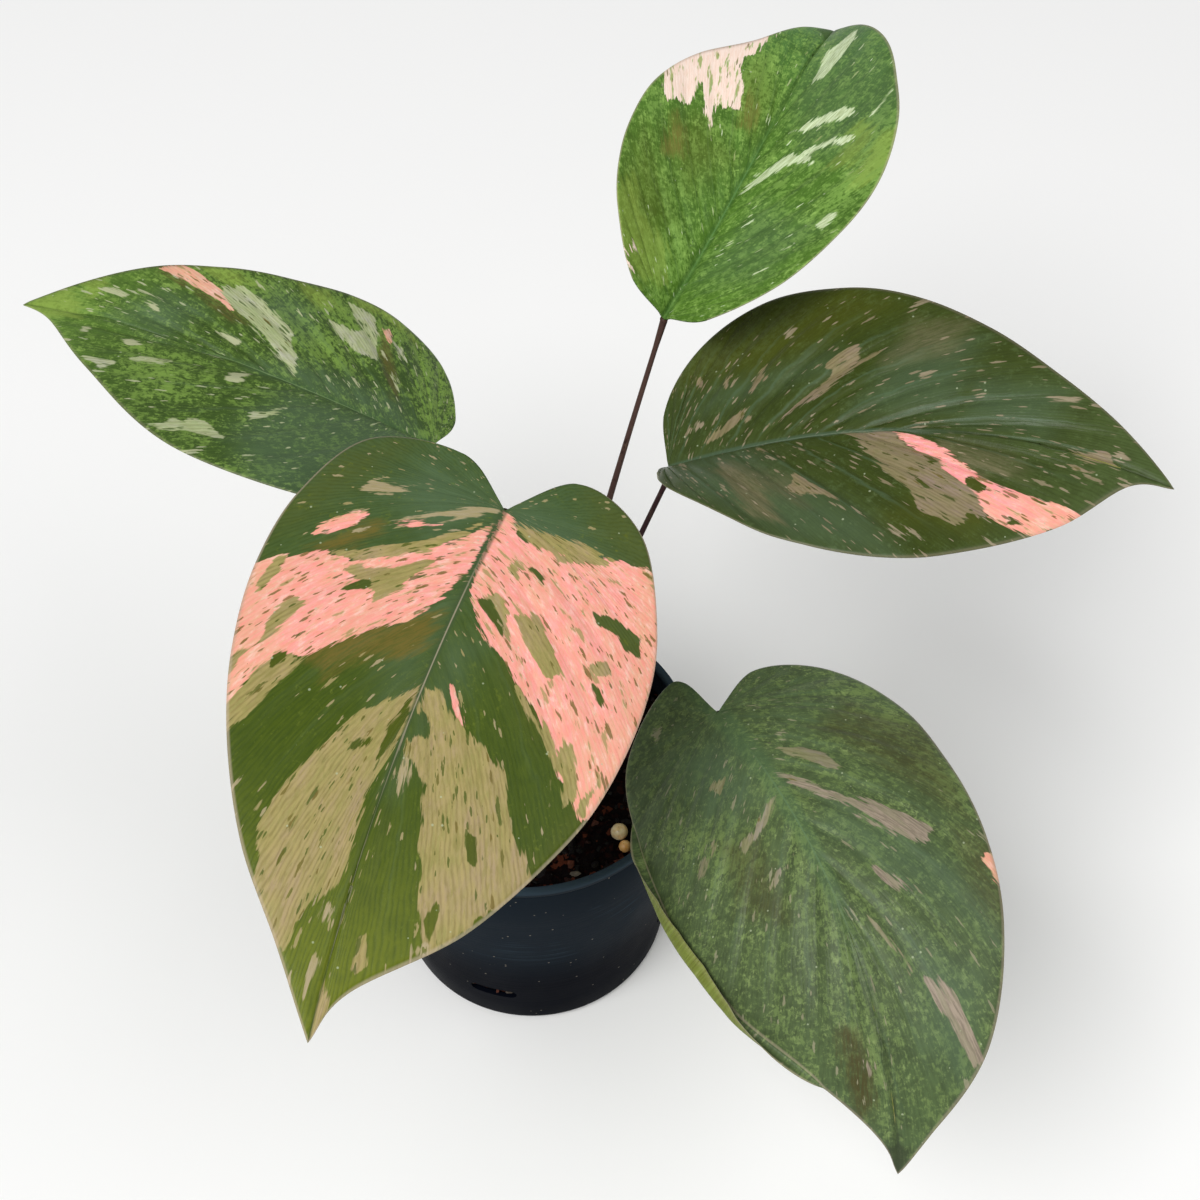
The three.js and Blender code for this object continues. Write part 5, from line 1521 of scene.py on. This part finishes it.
def soil_piece(soil):
    """A disc of crumbled peat that goes down inside the pot."""
    bm = bmesh.new()
    inner = pot_radius(SOIL_RIM_HEIGHT) - POT_WALL - SOIL_WALL_GAP

    def heaped(u, v):
        x, y = 2 * u - 1, 2 * v - 1
        across, along = x * np.sqrt(1 - y ** 2 / 2), y * np.sqrt(1 - x ** 2 / 2)
        radius = np.hypot(across, along)
        height = soil_top(across * inner, along * inner)
        places = np.stack([across * inner, along * inner, height], -1)
        crumbs = np.array([noise.fractal(Vector(place) * 0.42 + Vector((soil.seed, 0, 0)), 0.9, 2.1, 5)
                           for place in places])
        rim = np.clip((1 - radius) / 0.1, 0, 1)
        level = SOIL_RIM_HEIGHT + (height - SOIL_RIM_HEIGHT) * rim
        places[:, 2] = level + SOIL_CRUMBS * crumbs * (0.4 + 0.6 * rim)
        return places * MM

    shaped_grid(bm, SOIL_FACES_ACROSS, SOIL_FACES_ACROSS, heaped)
    ring = [edge for edge in bm.edges if edge.is_boundary]
    for height in (60, 45, 30, 22, 17, 12, 6, POT_FLOOR + SOIL_GAP):
        made = bmesh.ops.extrude_edge_only(bm, edges=ring)["geom"]
        lowered = [part for part in made if isinstance(part, bmesh.types.BMVert)]
        ring = [part for part in made if isinstance(part, bmesh.types.BMEdge)]
        wall = pot_radius(height) - POT_WALL
        radius = min(wall - SOIL_WALL_GAP, wall - SOIL_GAP + height / 200)
        for vertex in lowered:
            way = vertex.co.xy.normalized()
            inset = 0.5 * abs(noise.noise(Vector((way.x * 9, way.y * 9, height * 0.3))))
            vertex.co.xy = way * (radius - inset) * MM
            vertex.co.z = height * MM
    bmesh.ops.holes_fill(bm, edges=ring, sides=0)
    bmesh.ops.recalc_face_normals(bm, faces=bm.faces)
    return finished(bm, "potting_mix", [soil_material(soil)], node="soil")


def bark_piece(soil):
    """Chips of bark and peat scattered on the mix and behind the drain slots."""
    chance = np.random.default_rng(soil.seed)
    bm = bmesh.new()
    layer = bm.verts.layers.float.new("chip")
    limit = pot_radius(CHIP_LIMIT_HEIGHT) - POT_WALL

    def chip(place, size, tilt, kind):
        made = bmesh.ops.create_icosphere(bm, subdivisions=1, radius=1)["verts"]
        lengths = [chance.uniform(0.7, 1.3), chance.uniform(0.4, 0.9), chance.uniform(0.18, 0.45)]
        turn = Matrix.Rotation(chance.uniform(0, math.tau), 4, "Z") @ Matrix.Rotation(tilt, 4, "X")
        for vertex in made:
            vertex.co += Vector(chance.normal(0, 0.16, 3))
            vertex[layer] = kind
        scale = Matrix.Diagonal((*(size * np.array(lengths) * MM), 1))
        bmesh.ops.transform(bm, matrix=Matrix.Translation(place * MM) @ turn @ scale, verts=made)

    for _ in range(soil.chips):
        radius = (limit - CHIP_RIM_GAP) * math.sqrt(chance.uniform(0, 1))
        angle = chance.uniform(0, math.tau)
        x, y = radius * math.cos(angle), radius * math.sin(angle)
        size = min(chance.choice(CHIP_SIZES, p=CHIP_SHARES), (limit - radius) * 0.8)
        if math.hypot(x - CROWN_MIDDLE[0], y - CROWN_MIDDLE[1]) < CLEAR_AROUND_CROWN:
            continue
        if any(math.hypot(x - bx, y - by) < wide / 2 + size for (bx, by), wide in BEADS.values()):
            continue
        sunk_at_wall = SOIL_RELIEF * max(radius / limit - 0.9, 0) * 10 * 0.6
        height = float(soil_top(x, y)) + 0.1 * size - sunk_at_wall
        chip(Vector((x, y, height)), size, chance.normal(0, 0.35), chance.uniform(0, 0.93))
    for x, y, size, kind in GREY_CHIPS:
        chip(Vector((x, y, float(soil_top(x, y)) + 0.5)), size, 0.3, kind)
    for index in range(SLOT_COUNT * CHIPS_BEHIND_SLOT):
        height = SLOT_MIDDLE_HEIGHT + chance.uniform(-2, 2)
        radius = pot_radius(height) - POT_WALL - 0.15
        azimuth = slot_azimuth(index // CHIPS_BEHIND_SLOT) + chance.uniform(-0.55, 0.55) * SLOT_WIDTH / radius
        place = Vector((radius * math.cos(azimuth), radius * math.sin(azimuth), height))
        chip(place, chance.uniform(0.7, 1.2), 0.4, chance.uniform(0.72, 1))
    bmesh.ops.recalc_face_normals(bm, faces=bm.faces)
    return finished(bm, "bark_chips", [bark_material(soil)], smooth=False)


def bead_pieces(soil):
    """The fertiliser beads, a little uneven, where the frame has them."""
    for node, ((x, y), diameter) in BEADS.items():
        bm = bmesh.new()
        bmesh.ops.create_icosphere(bm, subdivisions=4, radius=diameter / 2 * MM)
        low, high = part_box(node)
        height = (low[2] + high[2]) / 2 / MM
        for vertex in bm.verts:
            vertex.co *= 1 + 0.02 * noise.noise(vertex.co * 900)
            vertex.co += Vector((x, y, height)) * MM
        bead = shaded(BEAD_SHADES[node], soil.bead)
        finished(bm, f"fertiliser_{node}", [bead_material(node, bead, soil)], node=node)


def crown_piece(stalk):
    """The short stem from which the stalks spring, wrapped in old scale leaves."""
    bm = bmesh.new()
    heights, shares = np.array(CROWN_SECTION).T
    given, even = np.linspace(0, 1, len(heights)), np.linspace(0, 1, 60)
    height = np.interp(even, given, heights)
    x, y = (np.full_like(height, middle) for middle in CROWN_MIDDLE)
    radii = np.interp(even, given, shares * CROWN_RADIUS * MM)

    def ringed(turn, v):
        return 0.96 + 0.04 * np.sin(5 * turn + 9 * v) * np.sin(40 * v)

    tube(bm, np.stack([x, y, height], -1) * MM, radii, 40, ringed)
    for azimuth, tall, wide in SCALE_LEAVES:
        add_scale_leaf(bm, math.radians(azimuth), tall, math.radians(wide))
    return finished(bm, "plant_crown", [crown_material(stalk)], node="crown")


def add_scale_leaf(bm, azimuth, tall, wide):
    """A withered leaf base that hugs the crown and tapers upwards."""
    def hugging(u, v):
        turn = azimuth + (u - 0.5) * wide * np.sqrt(np.clip(1 - v ** 2, 0, 1))
        radius = CROWN_RADIUS * 1.02 + 0.25 + 0.9 * v ** 2
        x = CROWN_MIDDLE[0] + radius * np.cos(turn)
        y = CROWN_MIDDLE[1] + radius * np.sin(turn)
        return np.stack([x, y, SCALE_LEAF_FOOT + tall * v], -1) * MM

    leaf = shaped_grid(bm, 10, 16, hugging)
    bmesh.ops.remove_doubles(bm, verts=leaf, dist=1e-7)
    whole = {vertex for vertex in leaf if vertex.is_valid}
    faces = [face for face in bm.faces if all(vertex in whole for vertex in face.verts)]
    bmesh.ops.recalc_face_normals(bm, faces=faces)
    bmesh.ops.solidify(bm, geom=faces, thickness=SCALE_LEAF_THICKNESS * MM)


def stalk_path(blade):
    """The middle line of a leaf stalk, from beside the crown to under its blade, and up there."""
    attachment = np.array(blade["attachment"], float)
    _, _, up = midrib_at(blade, np.zeros(1))
    seat = attachment - up[0] * (CAD_BLADE_THICKNESS / 2 + STALK_GAP + STALK_TOP_RADIUS)
    away = math.atan2(seat[1] - CROWN_MIDDLE[1], seat[0] - CROWN_MIDDLE[0])
    ring = CROWN_RADIUS + STALK_GAP + STALK_FOOT_RADIUS
    foot = np.array([CROWN_MIDDLE[0] + ring * math.cos(away), CROWN_MIDDLE[1] + ring * math.sin(away),
                     STALK_FOOT_HEIGHT])
    lean = np.array(blade["stalk_lean"], float)
    knee = foot + (seat - foot) * KNEE_PLACE + lean
    neck = foot + (seat - foot) * NECK_PLACE + NECK_LEAN * lean
    return catmull_rom([foot, knee, neck, seat], 90, 0.5), up[0]


def stalk_piece(name, stalk):
    """A leaf stalk, grooved above, thickening a little where it meets its blade."""
    path, up = stalk_path(BLADES[name])
    rooted = path[0] + (path[0] - path[1]) / np.linalg.norm(path[0] - path[1]) * STALK_ROOT
    path = np.vstack([rooted, path, path[-1] + up * STALK_REACH_INTO_BLADE])
    part = np.linspace(0, 1, len(path))
    foot_swell = (STALK_FOOT_RADIUS - STALK_TOP_RADIUS) * (1 - part) ** 2
    radii = STALK_TOP_RADIUS + foot_swell + 0.28 * np.clip((part - 0.93) / 0.07, 0, 1)
    bm = bmesh.new()

    def grooved(turn, v):
        groove = 0.16 * np.exp(-(np.angle(np.exp(1j * (turn - 1.2))) / 0.45) ** 2)
        return 1 - groove * np.clip(v * 4, 0, 1)

    tube(bm, path * MM, radii * MM, stalk.sides, grooved)
    return finished(bm, f"leaf_stalk_{name}", [stalk_material(name, stalk)], node=f"petiole_{name}")


def blade_piece(name, leaf):
    """A blade with its markings, veins and thin margin."""
    bm = blade_mesh(name, leaf)
    materials = [blade_material(name, leaf), blade_back_material(name, leaf)]
    piece = finished(bm, f"leaf_blade_{name}", materials, node=f"blade_{name}")
    piece.vertex_groups.new(name="Thick")
    thicken = piece.modifiers.new("Thickness", "SOLIDIFY")
    thicken.thickness = leaf.thickness
    thicken.offset = 0
    thicken.vertex_group = "Thick"
    thicken.thickness_vertex_group = 0
    thicken.material_offset = 1
    thicken.material_offset_rim = 0
    return piece


def keel_piece(name, leaf):
    """The midrib where it stands out under a blade."""
    blade = BLADES[name]
    along = np.linspace(0.4, 0.9 * blade["length"], 120)
    point, _, up = midrib_at(blade, along)
    fade = 1 - along / blade["length"]
    radii = 0.18 + 0.5 * fade ** 1.3
    path = point - up * (midrib_depth(1 - fade) + 0.24 + 0.75 * radii)[:, None]
    bm = bmesh.new()
    tube(bm, path * MM, radii * MM, 12)
    return finished(bm, f"leaf_keel_{name}", [keel_material(name, leaf)])


def area_lamp(name, place, size, power):
    """A round soft lamp that points at the plant."""
    light = bpy.data.lights.new(name, "AREA")
    light.shape = "DISK"
    light.size = size
    light.energy = power
    lamp = put_up(name, light)
    lamp.location = place
    lamp.rotation_euler = (Vector(LAMP_AIM) - Vector(place)).to_track_quat("-Z", "Y").to_euler()
    return lamp


def floor_piece(stage):
    """The ground that the pot stands on."""
    bm = bmesh.new()
    bmesh.ops.create_grid(bm, x_segments=1, y_segments=1, size=FLOOR_REACH)
    mesh = mesh_of(bm, "floor")
    mesh.materials.append(floor_material(stage))
    return put_up("floor", mesh)


def photograph_camera():
    """The camera at the photograph's viewing angle."""
    camera = put_up("camera", bpy.data.cameras.new("camera"))
    camera.data.lens = LENS
    camera.data.sensor_width = SENSOR_WIDTH
    camera.location = CAMERA_PLACE
    camera.rotation_euler = (math.radians(CAMERA_TILT), 0, 0)
    return camera


def soft_room():
    """Even white light from all round."""
    world = bpy.data.worlds.new("soft room")
    world.use_nodes = True
    background = world.node_tree.nodes["Background"]
    background.inputs["Color"].default_value = (1, 1, 1, 1)
    background.inputs["Strength"].default_value = ROOM_LIGHT
    return world


# Operators and panel

class SharedGroups(bpy.types.Operator):
    """Makes the node groups that the materials share"""
    bl_idname = "plant.shared_groups"
    bl_label = "Shared Groups"

    def execute(self, context):
        ragged_patch_group()
        vein_flecks_group()
        vein_lines_group()
        dots_group()
        sponge_group()
        return {"FINISHED"}


class MakePot(bpy.types.Operator):
    """Puts the finished pot over its frame"""
    bl_idname = "plant.pot"
    bl_label = "Pot"

    def execute(self, context):
        pot_piece(context.scene.plant.pot)
        return {"FINISHED"}


class MakeSoil(bpy.types.Operator):
    """Fills the pot with mix, bark chips and beads"""
    bl_idname = "plant.soil"
    bl_label = "Potting Mix"

    def execute(self, context):
        soil = context.scene.plant.soil
        soil_piece(soil)
        bark_piece(soil)
        bead_pieces(soil)
        return {"FINISHED"}


class MakeStalks(bpy.types.Operator):
    """Puts up the crown and the leaf stalks"""
    bl_idname = "plant.stalks"
    bl_label = "Crown and Leaf Stalks"

    def execute(self, context):
        stalk = context.scene.plant.stalk
        crown_piece(stalk)
        for name in BLADES:
            stalk_piece(name, stalk)
        return {"FINISHED"}


class MakeBlades(bpy.types.Operator):
    """Lays out the blades with their markings"""
    bl_idname = "plant.blades"
    bl_label = "Blades"

    def execute(self, context):
        leaf = context.scene.plant.leaf
        for name in BLADES:
            blade_piece(name, leaf)
            keel_piece(name, leaf)
        return {"FINISHED"}


class MakeStage(bpy.types.Operator):
    """Adds a pale floor, soft light and a camera"""
    bl_idname = "plant.stage"
    bl_label = "Floor, Light and Camera"

    def execute(self, context):
        scene = context.scene
        stage = scene.plant.stage
        floor = floor_piece(stage)
        lamps = [area_lamp(name, lamp["place"], lamp["size"], stage.key * lamp["watts"])
                 for name, lamp in LAMPS.items()]
        camera = photograph_camera()
        scene.camera = camera
        scene.world = soft_room()
        scene.view_settings.view_transform = "Standard"
        return {"FINISHED"}


class PlantPanel(bpy.types.Panel):
    """Lists the steps that make the plant"""
    bl_idname = "VIEW3D_PT_plant"
    bl_label = "Potted Aroid"
    bl_space_type = "VIEW_3D"
    bl_region_type = "UI"
    bl_category = "Plant"

    def draw(self, context):
        for operator in OPERATORS:
            self.layout.operator(operator.bl_idname)


OPERATORS = (SharedGroups, MakePot, MakeSoil, MakeStalks, MakeBlades, MakeStage)
CLASSES = (LeafSettings, StalkSettings, PotSettings, SoilSettings, StageSettings, PlantSettings,
           *OPERATORS, PlantPanel)


def register():
    for cls in CLASSES:
        bpy.utils.register_class(cls)
    bpy.types.Scene.plant = PointerProperty(type=PlantSettings)


def unregister():
    del bpy.types.Scene.plant
    for cls in reversed(CLASSES):
        bpy.utils.unregister_class(cls)


def main():
    register()
    bpy.ops.plant.shared_groups()
    bpy.ops.plant.pot()
    bpy.ops.plant.soil()
    bpy.ops.plant.stalks()
    bpy.ops.plant.blades()
    bpy.ops.plant.stage()


if __name__ == "__main__":
    main()
